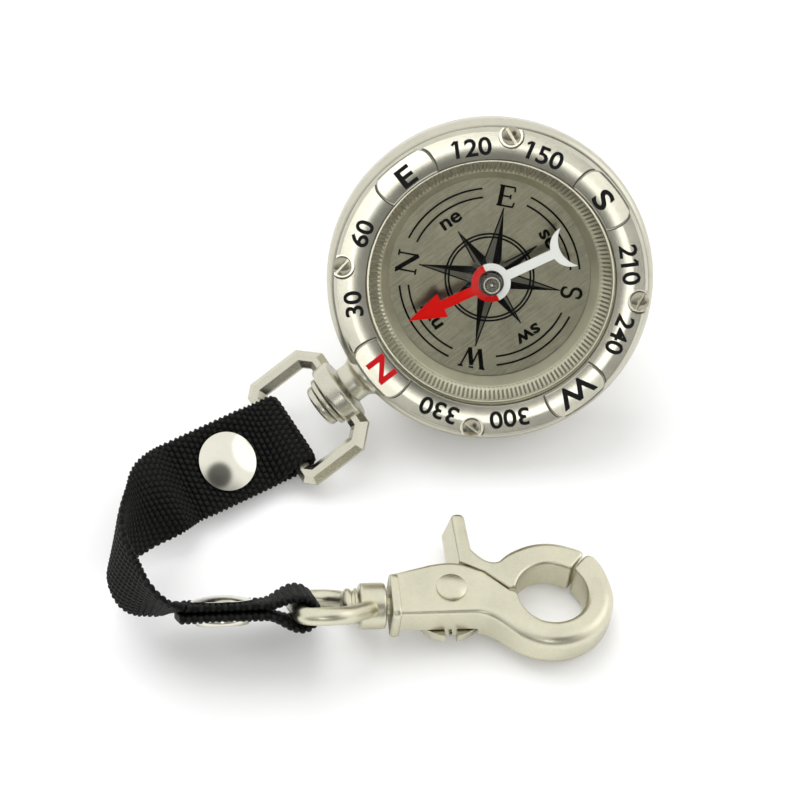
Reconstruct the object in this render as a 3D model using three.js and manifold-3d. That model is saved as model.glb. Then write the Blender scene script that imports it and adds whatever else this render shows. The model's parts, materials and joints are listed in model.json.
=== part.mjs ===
// Compass keychain: a liquid-free pocket compass with a screwed bezel, a swivel loop,
// a riveted webbing strap and a swivelling trigger snap hook, lying on a table.
// Millimetres, +Z up, origin under the middle of the whole keychain at table height.

import * as THREE from 'three';
import { mergeVertices } from 'three/addons/utils/BufferGeometryUtils.js';
import Module from 'manifold-3d';

const wasm = await Module();
wasm.setup();

// Clearances
const FIT = 0.3; // between pieces that are fixed to each other
const RUN = 0.35; // between pieces that turn on each other

// Compass case, heights counted down from the lettered face of the bezel
const CASE_RADIUS = 27.3;
const CASE_DEPTH = 16;
const CASE_TAPER = 2.4; // back smaller than the flange
const CASE_BACK_RADIUS = CASE_RADIUS - CASE_TAPER;
const CASE_BACK_BEVEL = 1.2;
const CASE_FLOOR = 1.8;
const FLANGE_DEPTH = 6.2;
const FLANGE_BEVEL = 0.9;
const DIAL_LEDGE = 1.6;

// Bezel and its screws
const BEZEL_INSET = 1.25; // rim of the case left round the bezel
const BEZEL_WIDTH = 5.45;
const BEZEL_RADIUS = CASE_RADIUS - BEZEL_INSET;
const BEZEL_BORE = BEZEL_RADIUS - BEZEL_WIDTH;
const BEZEL_HEIGHT = 2;
const BEZEL_EDGE_DROP = 1.1;
const BEZEL_EDGE_WIDTH = 0.9;
const PAD_RADIUS = 5.3;
const PAD_HEIGHT = 0.45;
const PAD_ANGLES = [0, 90, 180, 270];
const SCREW_INSET = 1.2; // screw centres in from the bezel's edge
const SCREW_CIRCLE = BEZEL_RADIUS - SCREW_INSET;
const SCREW_ANGLES = [45, 135, 225, 315];
const SCREW_HEAD_RADIUS = 1.55;
const SCREW_HEAD_HEIGHT = 0.8;
const SCREW_SHANK_RADIUS = 0.8;
const SCREW_SHANK_LENGTH = 5.6;
const SCREW_SLOT = 0.45;
const SCREW_NOTCH_RADIUS = 2.1;
const SCREW_NOTCH_DEPTH = 1;

// Clear capsule: domed lens with a reeded skirt, seal, reflector ring and dial
const LENS_RISE = 2.6;
const LENS_EDGE_DROP = 0.6;
const LENS_WALL = 1.2;
const LENS_SKIRT_WALL = 1.6;
const LENS_SKIRT_DEPTH = 3.6;
const LENS_FLANGE_WIDTH = 1.8;
const LENS_FLANGE_HEIGHT = 1.2;
const REED_COUNT = 60;
const REED_DEPTH = 0.5;
const SEAL_HEIGHT = 0.7;
const SEAL_WIDTH = 1.2;
const DIAL_RING_DROP = 1.6;
const DIAL_RING_SLOPE = 1.4;
const DIAL_THICKNESS = 1;

// Needle and its bearing
const NEEDLE_CLEARANCE = 3.15; // needle's tip to the reeded skirt
const NEEDLE_TAIL_INSET = 3.45; // middle of the tail inside the tip's circle
const NEEDLE_HORN_INSET = 1; // horns of the tail inside the tip's circle
const NEEDLE_HORN_ANGLE = 14;
const NEEDLE_ANGLE = -12.8;
const NEEDLE_THICKNESS = 0.5;
const NEEDLE_HEIGHT = 4.1;
const NEEDLE_HUB_RADIUS = 3.25;
const NEEDLE_SHAFT_WIDTH = 2.1;
const NEEDLE_HEAD_LENGTH = 6;
const NEEDLE_HEAD_WIDTH = 4.6;
const CAP_RADIUS = 1.8;
const CAP_RISE = 1.9;
const CAP_TOP = 0.8;
const CAP_FLANGE_RADIUS = 2.7;
const CAP_FLANGE_HEIGHT = 0.4;
const CAP_BORE_RADIUS = 1.2;
const JEWEL_HEIGHT = 0.8;
const PIVOT_RADIUS = 0.7;
const PIVOT_POINT = 0.9;
const PIVOT_FOOT_RADIUS = 2.2;
const PIVOT_FOOT_HEIGHT = 0.8;

// Stem and swivel pin of the compass
const STEM_DROP = 5.7;
const STEM_RADIUS = 3.25;
const STEM_LENGTH = 2.9;
const POST_RADIUS = 1.6;
const POST_WALL = 0.8; // case wall left inside the pin's bore
const POST_HEAD_RADIUS = 3.7;
const POST_HEAD_HEIGHT = 1.3;
const WASHER_RADIUS = 4.4;
const WASHER_THICKNESS = 0.8;

// Strap loop, a bevelled frame with a round eye for the swivel pin
const LOOP_BAR = 2.5; // inside the strap's fold
const LOOP_SIDE_BAR = 3.2;
const LOOP_SIDE_PLAY = 1.6; // of the strap between the side bars
const LOOP_THICKNESS = 2.7;
const LOOP_BEVEL = 0.7;
const LOOP_CHAMFER = 3.4;
const LOOP_INNER_LENGTH = 9.4;
const LOOP_EYE_RADIUS = 5.6;
const LOOP_EYE_LENGTH = 3;
const LOOP_ROLL = 21;
const LOOP_LIFT = 32;

// Webbing strap
const STRAP_WIDTH = 14.6;
const STRAP_SQUEEZED_WIDTH = 13.8;
const STRAP_SQUEEZE_LENGTH = 6;
const STRAP_THICKNESS = 1.7;
const LOOP_DOUBLE_LENGTH = 16.6;
const LOOP_RUN_LENGTH = 17;
const EYE_DOUBLE_LENGTH = 17.4;
const EYE_RUN_LENGTH = 17.4;
const STRAP_SETTLE_LENGTH = 5.5;
const LOOP_TWIST = 22; // of each riveted end against its bar
const EYE_TWIST = -6;
const FOLD_STEPS = 8;
const BEND_STEPS = 22;
// Middle of the strap round its free bend, and the way its width points there
const BEND_ROUTE = [
  { at: [-38.66, -26.76, 9.4], width: [-0.5, 0.62, 0.6] },
  { at: [-42.6, -30.9, 8.7], width: [-0.25, 0.1, 0.96] },
  { at: [-45.54, -36.47, 8.9], width: [0.2, -0.05, 0.97] },
  { at: [-44.6, -42.65, 10.4], width: [0.55, -0.1, 0.83] },
  { at: [-40.4, -47.76, 11.6], width: [0.5, -0.5, 0.7] },
];

// Strap rivets
const RIVET_CAP_RADIUS = 5;
const RIVET_CAP_RISE = 1.25;
const RIVET_RIM = 0.5;
const RIVET_POST_RADIUS = 1.3;
const RIVET_BASE_RADIUS = 4.5;
const RIVET_BASE_HEIGHT = 1.1;
const LOOP_RIVET_OFFSET = 11.2;
const EYE_RIVET_OFFSET = 12.2;

// Eye ring and swivel pin of the snap hook, along the hook's own axis
const EYE_BAR_RADIUS = 1.45;
const EYE_LENGTH = 14.4;
const EYE_SIDE_GAP = 0.5;
const EYE_CORNER = 2.4;
const EYE_BOSS_RADIUS = 3.75;
const EYE_BOSS_LENGTH = 4.3;
const EYE_BOSS_BEVEL = 0.5;
const EYE_PIN_RADIUS = 1.6;
const EYE_PIN_HEAD_RADIUS = 2.95;
const EYE_PIN_HEAD_LENGTH = 2.4;
const EYE_PIN_REACH = 5;

// Hook body
const HOOK_THICKNESS = 7;
const HOOK_BEVEL = 1.15;
const HOOK_COLLAR_LENGTH = 1.5;
const HOOK_COLLAR_WIDTH = 8.4;
const HOOK_NECK_WIDTH = 7.8;
const HOOK_NECK_LENGTH = 13.5;
const HOOK_SHOULDER = 6;
const BOW_MEET_ANGLE = 231; // where the shoulder runs into the bow
const BOW_MEET_EASE = [2, 1.7];
const CROTCH_REACH = 1.2; // of the body's edge from the bow's hole
const CROTCH_RISE = 0.2;
const BOW_CENTRE = 26.6;
const BOW_RADIUS = 10.2;
const BOW_HOLE_RADIUS = 5.8;
const NOSE_ANGLE = 47;
const LAP_HEIGHT = 2.1; // part of the thickness given to the trigger's hub
const LAP_END = 14.6;

// Trigger, its rivet and torsion spring
const EDGE_ROUTE = [[5.6, 3.2], [1.4, 5.1], [-3, 4.9]]; // body's upper edge from the pivot
const PIVOT_X = 10.2;
const PIVOT_Y = 0.8;
const HUB_RADIUS = 6;
const TRIGGER_DROP = 0.7; // top of the trigger below the top of the body
const TRIGGER_BEVEL = 0.55;
const TRIGGER_GAP_ANGLE = 3;
const TAB_OFFSET = 2.1;
const TAB_ROOT = 8.2;
const TAB_EASE = [6.4, 4.8]; // bend of the tab's root from the pivot
const TAB_HEIGHT = 15.4;
const TAB_THICKNESS = 2.1;
const TAB_LEAN = 0.4;
const TAB_DRAFT = 1.2; // tab's back wider at its foot
const TRIGGER_GAP = 0.45; // beside the body's edge
const BOW_ARM_ANGLE = 140;
const HUB_NOTCH_WIDTH = 2;
const HUB_NOTCH_DEPTH = 1.6;
const PIN_RADIUS = 1.4;
const PIN_HEAD_RADIUS = 2.4;
const PIN_HEAD_RISE = 0.65;
const PIN_TAIL_RADIUS = 2.2;
const PIN_TAIL_HEIGHT = 0.7;
const SPRING_WIRE_RADIUS = 0.3;
const SPRING_RADIUS = 2.25;
const SPRING_TURNS = 2;
const SPRING_GAP = 0.6;

// Where the pieces lie on the table
const COMPASS_AT = new THREE.Vector3(15.13, 1.49, 29.05);
const COMPASS_FACE = new THREE.Vector3(0.0314, -0.789, 0.6139).normalize();
const STEM_WAY = new THREE.Vector3(-0.789, -0.396, -0.469);
const LOOP_SIDE_WAY = new THREE.Vector3(-0.605, 0.634, 0.482);
const HOOK_AT = new THREE.Vector3(-2.1, -47.6, 7.2);
const HOOK_YAW = 5.5;
const HOOK_PITCH = 5.75;
const EYE_ROLL = -46.5;
const STRAP_DROOP = -1;

const rad = THREE.MathUtils.degToRad;

// Solid helpers

// One closed solid from a geometry, with shared corners merged and flat slivers dropped.
function solidOf(geometry) {
  const bare = geometry.index ? geometry.toNonIndexed() : geometry.clone();
  bare.deleteAttribute('normal');
  bare.deleteAttribute('uv');
  const merged = mergeVertices(bare, 1e-4);
  const corners = merged.attributes.position;
  const kept = [];
  let volume = 0;
  const [a, b, c] = [new THREE.Vector3(), new THREE.Vector3(), new THREE.Vector3()];
  for (let i = 0; i < merged.index.count; i += 3) {
    const [p, q, r] = [0, 1, 2].map((k) => merged.index.getX(i + k));
    if (p === q || q === r || r === p) continue;
    kept.push(p, q, r);
    a.fromBufferAttribute(corners, p);
    b.fromBufferAttribute(corners, q);
    c.fromBufferAttribute(corners, r);
    volume += a.dot(b.cross(c));
  }
  if (volume < 0) kept.reverse();
  return new wasm.Manifold(
    new wasm.Mesh({
      numProp: 3,
      vertProperties: new Float32Array(corners.array),
      triVerts: new Uint32Array(kept),
    }),
  );
}

function geometryOf(solid) {
  const mesh = solid.getMesh();
  const geometry = new THREE.BufferGeometry();
  geometry.setAttribute('position', new THREE.BufferAttribute(mesh.vertProperties.slice(), 3));
  geometry.setIndex(new THREE.BufferAttribute(mesh.triVerts.slice(), 1));
  geometry.computeVertexNormals();
  return geometry;
}

const join = (first, ...others) => others.reduce((sum, next) => sum.add(next), first);
const cut = (first, ...others) => others.reduce((rest, next) => rest.subtract(next), first);

// A body turned about Z from [radius, height] points, on the axis or closed on itself.
function turned(points, segments = 48) {
  const profile = points.map(([r, z]) => new THREE.Vector2(r, z));
  const geometry = new THREE.LatheGeometry(profile, segments);
  geometry.rotateX(Math.PI / 2);
  return solidOf(geometry);
}

// A round bar about Z between two heights.
const bar = (radius, low, high, segments = 24) =>
  turned([[0, low], [radius, low], [radius, high], [0, high]], segments);

const moved = (solid, x, y, z = 0) => solid.translate([x, y, z]);

// The same bar laid along X.
const barAlongX = (radius, from, to, segments = 24) => bar(radius, from, to, segments).rotate([0, 90, 0]);

function box(x0, x1, y0, y1, z0, z1) {
  const geometry = new THREE.BoxGeometry(x1 - x0, y1 - y0, z1 - z0);
  geometry.translate((x0 + x1) / 2, (y0 + y1) / 2, (z0 + z1) / 2);
  return solidOf(geometry);
}

// A plate between two heights, its edges rounded inside the outline.
function plate(shape, low, high, bevel = 0, bevelSegments = 2, curveSegments = 10) {
  const geometry = new THREE.ExtrudeGeometry(shape, {
    depth: high - low - 2 * bevel,
    bevelEnabled: bevel > 0,
    bevelThickness: bevel,
    bevelSize: bevel,
    bevelOffset: -bevel,
    bevelSegments,
    curveSegments,
  });
  geometry.translate(0, 0, low + bevel);
  return solidOf(geometry);
}

const outline = (points) => new THREE.Shape(points.map(([x, y]) => new THREE.Vector2(x, y)));

const onCircle = (radius, degrees, x = 0, y = 0) => [
  x + radius * Math.cos(rad(degrees)),
  y + radius * Math.sin(rad(degrees)),
];

// Points of a spherical cap's profile, from its rim to its top on the axis.
function domeProfile(radius, rim, top, steps) {
  const rise = top - rim;
  const sphere = (radius * radius + rise * rise) / (2 * rise);
  const span = Math.asin(radius / sphere);
  return Array.from({ length: steps + 1 }, (_, i) => {
    const angle = span * (1 - i / steps);
    return [sphere * Math.sin(angle), top - sphere * (1 - Math.cos(angle))];
  });
}

// A round tube along a curve.
function tube(curve, radius, steps, sides) {
  const section = outline(Array.from({ length: sides }, (_, i) => onCircle(radius, (360 * i) / sides)));
  return new THREE.ExtrudeGeometry(section, { steps, extrudePath: curve, curveSegments: 1 });
}

// Materials
const finish = (color, roughness, metalness) =>
  new THREE.MeshStandardMaterial({ color, roughness, metalness });
const satinNickel = () => finish('#c9c6bb', 0.32, 1);
const brightNickel = () => finish('#d8d2c2', 0.12, 1);
const blackNylon = () => finish('#15161a', 0.85, 0);

// Collects the meshes of one group.
function piece(group, name, solid, material) {
  const mesh = new THREE.Mesh(solid.isBufferGeometry ? solid : geometryOf(solid), material);
  mesh.name = name;
  group.add(mesh);
}

const frameOf = (x, y, z, at) => new THREE.Matrix4().makeBasis(x, y, z).setPosition(at);

function groupAt(matrix) {
  const group = new THREE.Group();
  group.applyMatrix4(matrix);
  return group;
}

// Heights shared by the pieces inside the case
const caseTop = -BEZEL_HEIGHT - FIT;
const lensRadius = BEZEL_BORE - FIT;
const lensFlangeRadius = lensRadius + LENS_FLANGE_WIDTH;
const lensFoot = -LENS_SKIRT_DEPTH;
const sealFloor = lensFoot - SEAL_HEIGHT - 2 * FIT;
const skirtBore = lensRadius - LENS_SKIRT_WALL;
const ringTop = lensFoot - FIT;
const ringFoot = ringTop - DIAL_RING_DROP;
const dialTop = ringFoot - FIT;
const dialFoot = dialTop - DIAL_THICKNESS;
const dialSeat = dialFoot - FIT;
const caseBore = BEZEL_BORE;
const dialRadius = caseBore - FIT;
const needleRadius = skirtBore - REED_DEPTH - NEEDLE_CLEARANCE;
const needleTail = needleRadius - NEEDLE_TAIL_INSET;
const needleFoot = dialTop + NEEDLE_HEIGHT;
const needleTop = needleFoot + NEEDLE_THICKNESS;
const capTop = needleTop + CAP_RISE;
const jewelTop = capTop - CAP_TOP - FIT;
const pivotTip = jewelTop - JEWEL_HEIGHT - FIT;
const stemEnd = CASE_RADIUS + STEM_LENGTH;
const eyeStart = stemEnd + RUN;
const eyeEnd = eyeStart + LOOP_EYE_LENGTH;
const washerStart = eyeEnd + RUN;
const headStart = washerStart + WASHER_THICKNESS + FIT;
const postBore = lensFlangeRadius + FIT + POST_WALL;
const postFoot = postBore + FIT;
const loopBarAt = eyeEnd + LOOP_INNER_LENGTH + LOOP_BAR / 2;

function buildCase() {
  const backFlank = CASE_DEPTH - CASE_BACK_BEVEL;
  const shell = turned(
    [
      [0, -CASE_DEPTH],
      [CASE_BACK_RADIUS - CASE_BACK_BEVEL, -CASE_DEPTH],
      [CASE_BACK_RADIUS, -backFlank],
      [CASE_RADIUS - FLANGE_BEVEL, -FLANGE_DEPTH - FLANGE_BEVEL],
      [CASE_RADIUS, -FLANGE_DEPTH],
      [CASE_RADIUS, caseTop - FLANGE_BEVEL],
      [CASE_RADIUS - FLANGE_BEVEL, caseTop],
      [lensFlangeRadius + FIT, caseTop],
      [lensFlangeRadius + FIT, sealFloor],
      [caseBore, sealFloor],
      [caseBore, dialSeat],
      [caseBore - DIAL_LEDGE, dialSeat],
      [caseBore - DIAL_LEDGE, CASE_FLOOR - CASE_DEPTH],
      [0, CASE_FLOOR - CASE_DEPTH],
    ],
    64,
  );
  const stem = barAlongX(STEM_RADIUS, postBore, stemEnd);
  const bore = barAlongX(POST_RADIUS + FIT, postBore, stemEnd + FIT, 16);
  const shankHole = bar(SCREW_SHANK_RADIUS + FIT, screwFoot - FIT, 0, 12);
  const holes = SCREW_ANGLES.map((angle) => moved(shankHole, ...onCircle(SCREW_CIRCLE, angle)));
  return cut(join(shell, moved(stem, 0, 0, -STEM_DROP)), moved(bore, 0, 0, -STEM_DROP), ...holes);
}

const screwSeat = -SCREW_NOTCH_DEPTH + FIT;
const screwFoot = screwSeat - SCREW_SHANK_LENGTH;

function buildBezel() {
  const ring = turned(
    [
      [BEZEL_BORE, -BEZEL_HEIGHT],
      [BEZEL_RADIUS, -BEZEL_HEIGHT],
      [BEZEL_RADIUS, -BEZEL_EDGE_DROP],
      [BEZEL_RADIUS - BEZEL_EDGE_WIDTH, 0],
      [BEZEL_BORE + BEZEL_EDGE_WIDTH / 2, 0],
      [BEZEL_BORE, -BEZEL_EDGE_WIDTH / 2],
      [BEZEL_BORE, -BEZEL_HEIGHT],
    ],
    72,
  );
  const padBand = turned(
    [
      [BEZEL_BORE + BEZEL_EDGE_WIDTH / 2, -BEZEL_EDGE_WIDTH / 2],
      [BEZEL_RADIUS - BEZEL_EDGE_WIDTH, -BEZEL_EDGE_WIDTH / 2],
      [BEZEL_RADIUS - BEZEL_EDGE_WIDTH - PAD_HEIGHT / 2, PAD_HEIGHT],
      [BEZEL_BORE + BEZEL_EDGE_WIDTH / 2 + PAD_HEIGHT / 2, PAD_HEIGHT],
      [BEZEL_BORE + BEZEL_EDGE_WIDTH / 2, -BEZEL_EDGE_WIDTH / 2],
    ],
    72,
  );
  const middle = (BEZEL_BORE + BEZEL_RADIUS) / 2;
  const padPost = bar(PAD_RADIUS, -BEZEL_HEIGHT, PAD_HEIGHT * 2, 32);
  const pads = PAD_ANGLES.map((angle) => padBand.intersect(moved(padPost, ...onCircle(middle, angle))));
  const notch = bar(SCREW_NOTCH_RADIUS, -SCREW_NOTCH_DEPTH, PAD_HEIGHT * 2, 20);
  const hole = bar(SCREW_SHANK_RADIUS + FIT, -BEZEL_HEIGHT - FIT, 0, 12);
  const cuts = SCREW_ANGLES.flatMap((angle) =>
    [notch, hole].map((solid) => moved(solid, ...onCircle(SCREW_CIRCLE, angle))),
  );
  return cut(join(ring, ...pads), ...cuts);
}

function buildScrew(angle) {
  const dome = domeProfile(SCREW_HEAD_RADIUS, screwSeat + SCREW_HEAD_HEIGHT / 2, screwSeat + SCREW_HEAD_HEIGHT, 3);
  const body = turned(
    [
      [0, screwFoot],
      [SCREW_SHANK_RADIUS, screwFoot],
      [SCREW_SHANK_RADIUS, screwSeat],
      [SCREW_HEAD_RADIUS, screwSeat],
      ...dome,
    ],
    16,
  );
  const half = SCREW_SLOT / 2;
  const slotFloor = screwSeat + SCREW_HEAD_HEIGHT / 2;
  const slot = box(-SCREW_HEAD_RADIUS, SCREW_HEAD_RADIUS, -half, half, slotFloor, slotFloor + SCREW_HEAD_HEIGHT);
  return moved(cut(body, slot.rotate([0, 0, angle / 2])), ...onCircle(SCREW_CIRCLE, angle));
}

function buildLens() {
  const outer = domeProfile(lensRadius, -LENS_EDGE_DROP, LENS_RISE, 4);
  const inner = domeProfile(skirtBore, -LENS_EDGE_DROP - LENS_WALL, LENS_RISE - LENS_WALL, 4);
  const flangeTop = lensFoot + LENS_FLANGE_HEIGHT;
  const shell = turned(
    [
      [skirtBore, lensFoot],
      [lensFlangeRadius, lensFoot],
      [lensFlangeRadius, flangeTop],
      [lensRadius, flangeTop],
      ...outer,
      ...inner.reverse(),
      [skirtBore, lensFoot],
    ],
    60,
  );
  const reeds = outline(
    Array.from({ length: 2 * REED_COUNT }, (_, i) => onCircle(skirtBore + LENS_WALL / 2, (180 * i) / REED_COUNT)),
  );
  const teeth = Array.from({ length: 2 * REED_COUNT }, (_, i) =>
    onCircle(skirtBore - (i % 2) * REED_DEPTH, (180 * i) / REED_COUNT),
  );
  reeds.holes.push(new THREE.Path(teeth.map(([x, y]) => new THREE.Vector2(x, y))));
  return join(shell, plate(reeds, lensFoot, -LENS_EDGE_DROP - LENS_WALL));
}

const ringSection = (inner, outer, low, high, segments) =>
  turned([[inner, low], [outer, low], [outer, high], [inner, high], [inner, low]], segments);

function buildDialRing() {
  const lip = skirtBore - REED_DEPTH;
  return turned(
    [
      [lip - DIAL_RING_SLOPE, ringFoot],
      [dialRadius, ringFoot],
      [dialRadius, ringTop],
      [lip, ringTop],
      [lip - DIAL_RING_SLOPE, ringFoot],
    ],
    60,
  );
}

function buildPivot() {
  const footTop = dialSeat - FIT;
  return turned(
    [
      [0, footTop - PIVOT_FOOT_HEIGHT],
      [PIVOT_FOOT_RADIUS, footTop - PIVOT_FOOT_HEIGHT],
      [PIVOT_FOOT_RADIUS, footTop],
      [PIVOT_RADIUS, footTop],
      [PIVOT_RADIUS, pivotTip - PIVOT_POINT],
      [0, pivotTip],
    ],
    12,
  );
}

// Arrow with a round hub and a forked tail, lying along +X before it is turned.
function buildNeedle() {
  const half = NEEDLE_SHAFT_WIDTH / 2;
  const headRoot = needleRadius - NEEDLE_HEAD_LENGTH;
  const arrow = outline([
    [0, -half],
    [headRoot, -half],
    [headRoot - half, -NEEDLE_HEAD_WIDTH / 2],
    [needleRadius, 0],
    [headRoot - half, NEEDLE_HEAD_WIDTH / 2],
    [headRoot, half],
    [0, half],
  ]);
  const [hornX, hornY] = onCircle(needleRadius - NEEDLE_HORN_INSET, NEEDLE_HORN_ANGLE);
  const tail = new THREE.Shape();
  tail.moveTo(0, half);
  tail.lineTo(-needleTail + 2 * half, half);
  tail.quadraticCurveTo(-needleTail, half, -hornX, hornY);
  tail.quadraticCurveTo(-needleTail + half, 0, -hornX, -hornY);
  tail.quadraticCurveTo(-needleTail, -half, -needleTail + 2 * half, -half);
  tail.lineTo(0, -half);
  const blade = join(
    plate(arrow, needleFoot, needleTop),
    plate(tail, needleFoot, needleTop, 0, 1, 6),
    bar(NEEDLE_HUB_RADIUS, needleFoot, needleTop, 28),
  );
  const bore = bar(CAP_RADIUS + FIT, needleFoot - FIT, needleTop + FIT, 20);
  return cut(blade, bore).rotate([0, 0, NEEDLE_ANGLE]);
}

function buildCap() {
  const flangeTop = needleFoot - FIT;
  const shoulder = CAP_RADIUS * 0.25;
  return turned(
    [
      [CAP_BORE_RADIUS, flangeTop - CAP_FLANGE_HEIGHT],
      [CAP_FLANGE_RADIUS, flangeTop - CAP_FLANGE_HEIGHT],
      [CAP_FLANGE_RADIUS, flangeTop],
      [CAP_RADIUS, flangeTop],
      [CAP_RADIUS, capTop - shoulder],
      [CAP_RADIUS - shoulder, capTop],
      [0, capTop],
      [0, capTop - CAP_TOP],
      [CAP_BORE_RADIUS, capTop - CAP_TOP],
      [CAP_BORE_RADIUS, flangeTop - CAP_FLANGE_HEIGHT],
    ],
    20,
  );
}

function buildCompass(group) {
  piece(group, 'case_body', buildCase(), satinNickel());
  piece(group, 'bezel', buildBezel(), satinNickel());
  SCREW_ANGLES.forEach((angle, i) => piece(group, `bezel_screw_${i + 1}`, buildScrew(angle), satinNickel()));
  piece(group, 'capsule_lens', buildLens(), finish('#f2f4f2', 0.04, 0));
  const sealOuter = lensFlangeRadius;
  const seal = ringSection(sealOuter - SEAL_WIDTH, sealOuter, sealFloor + FIT, lensFoot - FIT, 48);
  piece(group, 'capsule_seal', seal, finish('#22241f', 0.8, 0));
  piece(group, 'dial_ring', buildDialRing(), finish('#b9b7ab', 0.3, 1));
  const dialHole = PIVOT_RADIUS + FIT;
  const dial = ringSection(dialHole, dialRadius, dialFoot, dialTop, 60);
  piece(group, 'dial_plate', dial, finish('#b4b2a8', 0.45, 0.8));
  piece(group, 'pivot_pin', buildPivot(), satinNickel());
  piece(group, 'needle', buildNeedle(), finish('#d61a1f', 0.4, 0));
  piece(group, 'needle_cap', buildCap(), satinNickel());
  const jewel = bar(CAP_BORE_RADIUS - FIT, jewelTop - JEWEL_HEIGHT, jewelTop, 12);
  piece(group, 'needle_jewel', jewel, finish('#7d1f2a', 0.1, 0));
  const headRim = headStart + POST_HEAD_HEIGHT;
  const post = turned(
    [
      [0, postFoot],
      [POST_RADIUS, postFoot],
      [POST_RADIUS, headStart],
      [POST_HEAD_RADIUS, headStart],
      [POST_HEAD_RADIUS, headRim - POST_HEAD_HEIGHT / 3],
      [POST_HEAD_RADIUS - POST_HEAD_HEIGHT / 3, headRim],
      [0, headRim],
    ],
    28,
  );
  piece(group, 'swivel_post', moved(post.rotate([0, 90, 0]), 0, 0, -STEM_DROP), satinNickel());
  const washer = ringSection(POST_RADIUS + FIT, WASHER_RADIUS, washerStart, washerStart + WASHER_THICKNESS, 28);
  piece(group, 'swivel_washer', moved(washer.rotate([0, 90, 0]), 0, 0, -STEM_DROP), satinNickel());
}

// Frame with cut corners, lying in its own XY plane with +X away from the compass.
function buildLoop() {
  const half = (STRAP_SQUEEZED_WIDTH + LOOP_SIDE_PLAY) / 2;
  const reach = half + LOOP_SIDE_BAR;
  const start = eyeStart;
  const end = loopBarAt + LOOP_BAR / 2;
  const frame = outline([
    [start, -reach + LOOP_CHAMFER],
    [start + LOOP_CHAMFER, -reach],
    [end - LOOP_CHAMFER / 2, -reach],
    [end, -reach + LOOP_CHAMFER / 2],
    [end, reach - LOOP_CHAMFER / 2],
    [end - LOOP_CHAMFER / 2, reach],
    [start + LOOP_CHAMFER, reach],
    [start, reach - LOOP_CHAMFER],
  ]);
  const hole = outline([
    [eyeEnd, -half + LOOP_BAR / 2],
    [eyeEnd + LOOP_BAR / 2, -half],
    [end - LOOP_BAR, -half],
    [end - LOOP_BAR, half],
    [eyeEnd + LOOP_BAR / 2, half],
    [eyeEnd, half - LOOP_BAR / 2],
  ]);
  frame.holes.push(hole);
  const bars = plate(frame, -LOOP_THICKNESS / 2, LOOP_THICKNESS / 2, LOOP_BEVEL, 1);
  const rim = LOOP_BEVEL / 2;
  const eye = turned(
    [
      [0, eyeStart],
      [LOOP_EYE_RADIUS - rim, eyeStart],
      [LOOP_EYE_RADIUS, eyeStart + rim],
      [LOOP_EYE_RADIUS, eyeEnd - rim],
      [LOOP_EYE_RADIUS - rim, eyeEnd],
      [0, eyeEnd],
    ],
    32,
  ).rotate([0, 90, 0]);
  const bore = barAlongX(POST_RADIUS + RUN, eyeStart - RUN, eyeEnd + RUN);
  return cut(join(bars, eye), bore);
}

// A flat band through rings of { at, width, normal, half }, closed at both ends.
function band(rings) {
  const corners = [];
  const faces = [];
  rings.forEach(({ at, width, normal, half }, i) => {
    for (const [side, face] of [[-1, -1], [1, -1], [1, 1], [-1, 1]]) {
      const corner = at.clone();
      corner.addScaledVector(width, side * half);
      corner.addScaledVector(normal, (face * STRAP_THICKNESS) / 2);
      corners.push(...corner.toArray());
    }
    if (i === 0) return;
    const [last, next] = [4 * i - 4, 4 * i];
    for (let k = 0; k < 4; k += 1) {
      const m = (k + 1) % 4;
      faces.push(last + k, next + k, next + m, last + k, next + m, last + m);
    }
  });
  const end = 4 * rings.length - 4;
  faces.push(0, 1, 2, 0, 2, 3, end, end + 2, end + 1, end, end + 3, end + 2);
  const geometry = new THREE.BufferGeometry();
  geometry.setAttribute('position', new THREE.Float32BufferAttribute(corners, 3));
  geometry.setIndex(faces);
  return solidOf(geometry);
}

// Strap end folded round a bar: from the cut end, round the bar and out along its run.
// The fold lies in the plane of `along` and `up`, and the strap's width follows `across`.
function foldedEnd(fold, barRadius, squeezedWidth) {
  const { at, along } = fold;
  const apart = (STRAP_THICKNESS + FIT) / 2;
  const round = barRadius + FIT + STRAP_THICKNESS / 2;
  const offset = (s) => {
    if (s >= STRAP_SETTLE_LENGTH) return apart;
    return apart + (round - apart) * 0.5 * (1 + Math.cos((Math.PI * s) / STRAP_SETTLE_LENGTH));
  };
  const route = [];
  const stations = [0.25, 0.5, 0.75, 1].map((share) => share * STRAP_SETTLE_LENGTH);
  for (const s of [fold.doubled, ...stations.slice().reverse()]) route.push([s, -offset(s)]);
  for (let i = 0; i <= FOLD_STEPS; i += 1) route.push(onCircle(round, -90 - (180 * i) / FOLD_STEPS));
  for (const s of [...stations, fold.run]) route.push([s, offset(s)]);
  const rings = route.map(([s, n], i) => {
    const before = route[Math.max(i - 1, 0)];
    const after = route[Math.min(i + 1, route.length - 1)];
    const step = new THREE.Vector2(after[0] - before[0], after[1] - before[1]).normalize();
    const { up, across } = foldFrame(fold, s);
    const normal = along.clone().multiplyScalar(-step.y).addScaledVector(up, step.x);
    const free = THREE.MathUtils.smoothstep(s, 0, STRAP_SQUEEZE_LENGTH);
    const half = THREE.MathUtils.lerp(squeezedWidth, STRAP_WIDTH, free) / 2;
    const place = at.clone().addScaledVector(along, s).addScaledVector(up, n);
    return { at: place, width: across, normal, half };
  });
  return cut(band(rings), placed(fold, bar(RIVET_POST_RADIUS + FIT, -rivetReach, rivetReach, 16)));
}

// Up and across at a distance from the bar, as the riveted end twists away from it.
function foldFrame({ along, up, across, twist }, s) {
  const angle = -rad(twist) * THREE.MathUtils.smoothstep(s, 0, STRAP_SETTLE_LENGTH);
  return { up: up.clone().applyAxisAngle(along, angle), across: across.clone().applyAxisAngle(along, angle) };
}

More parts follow.
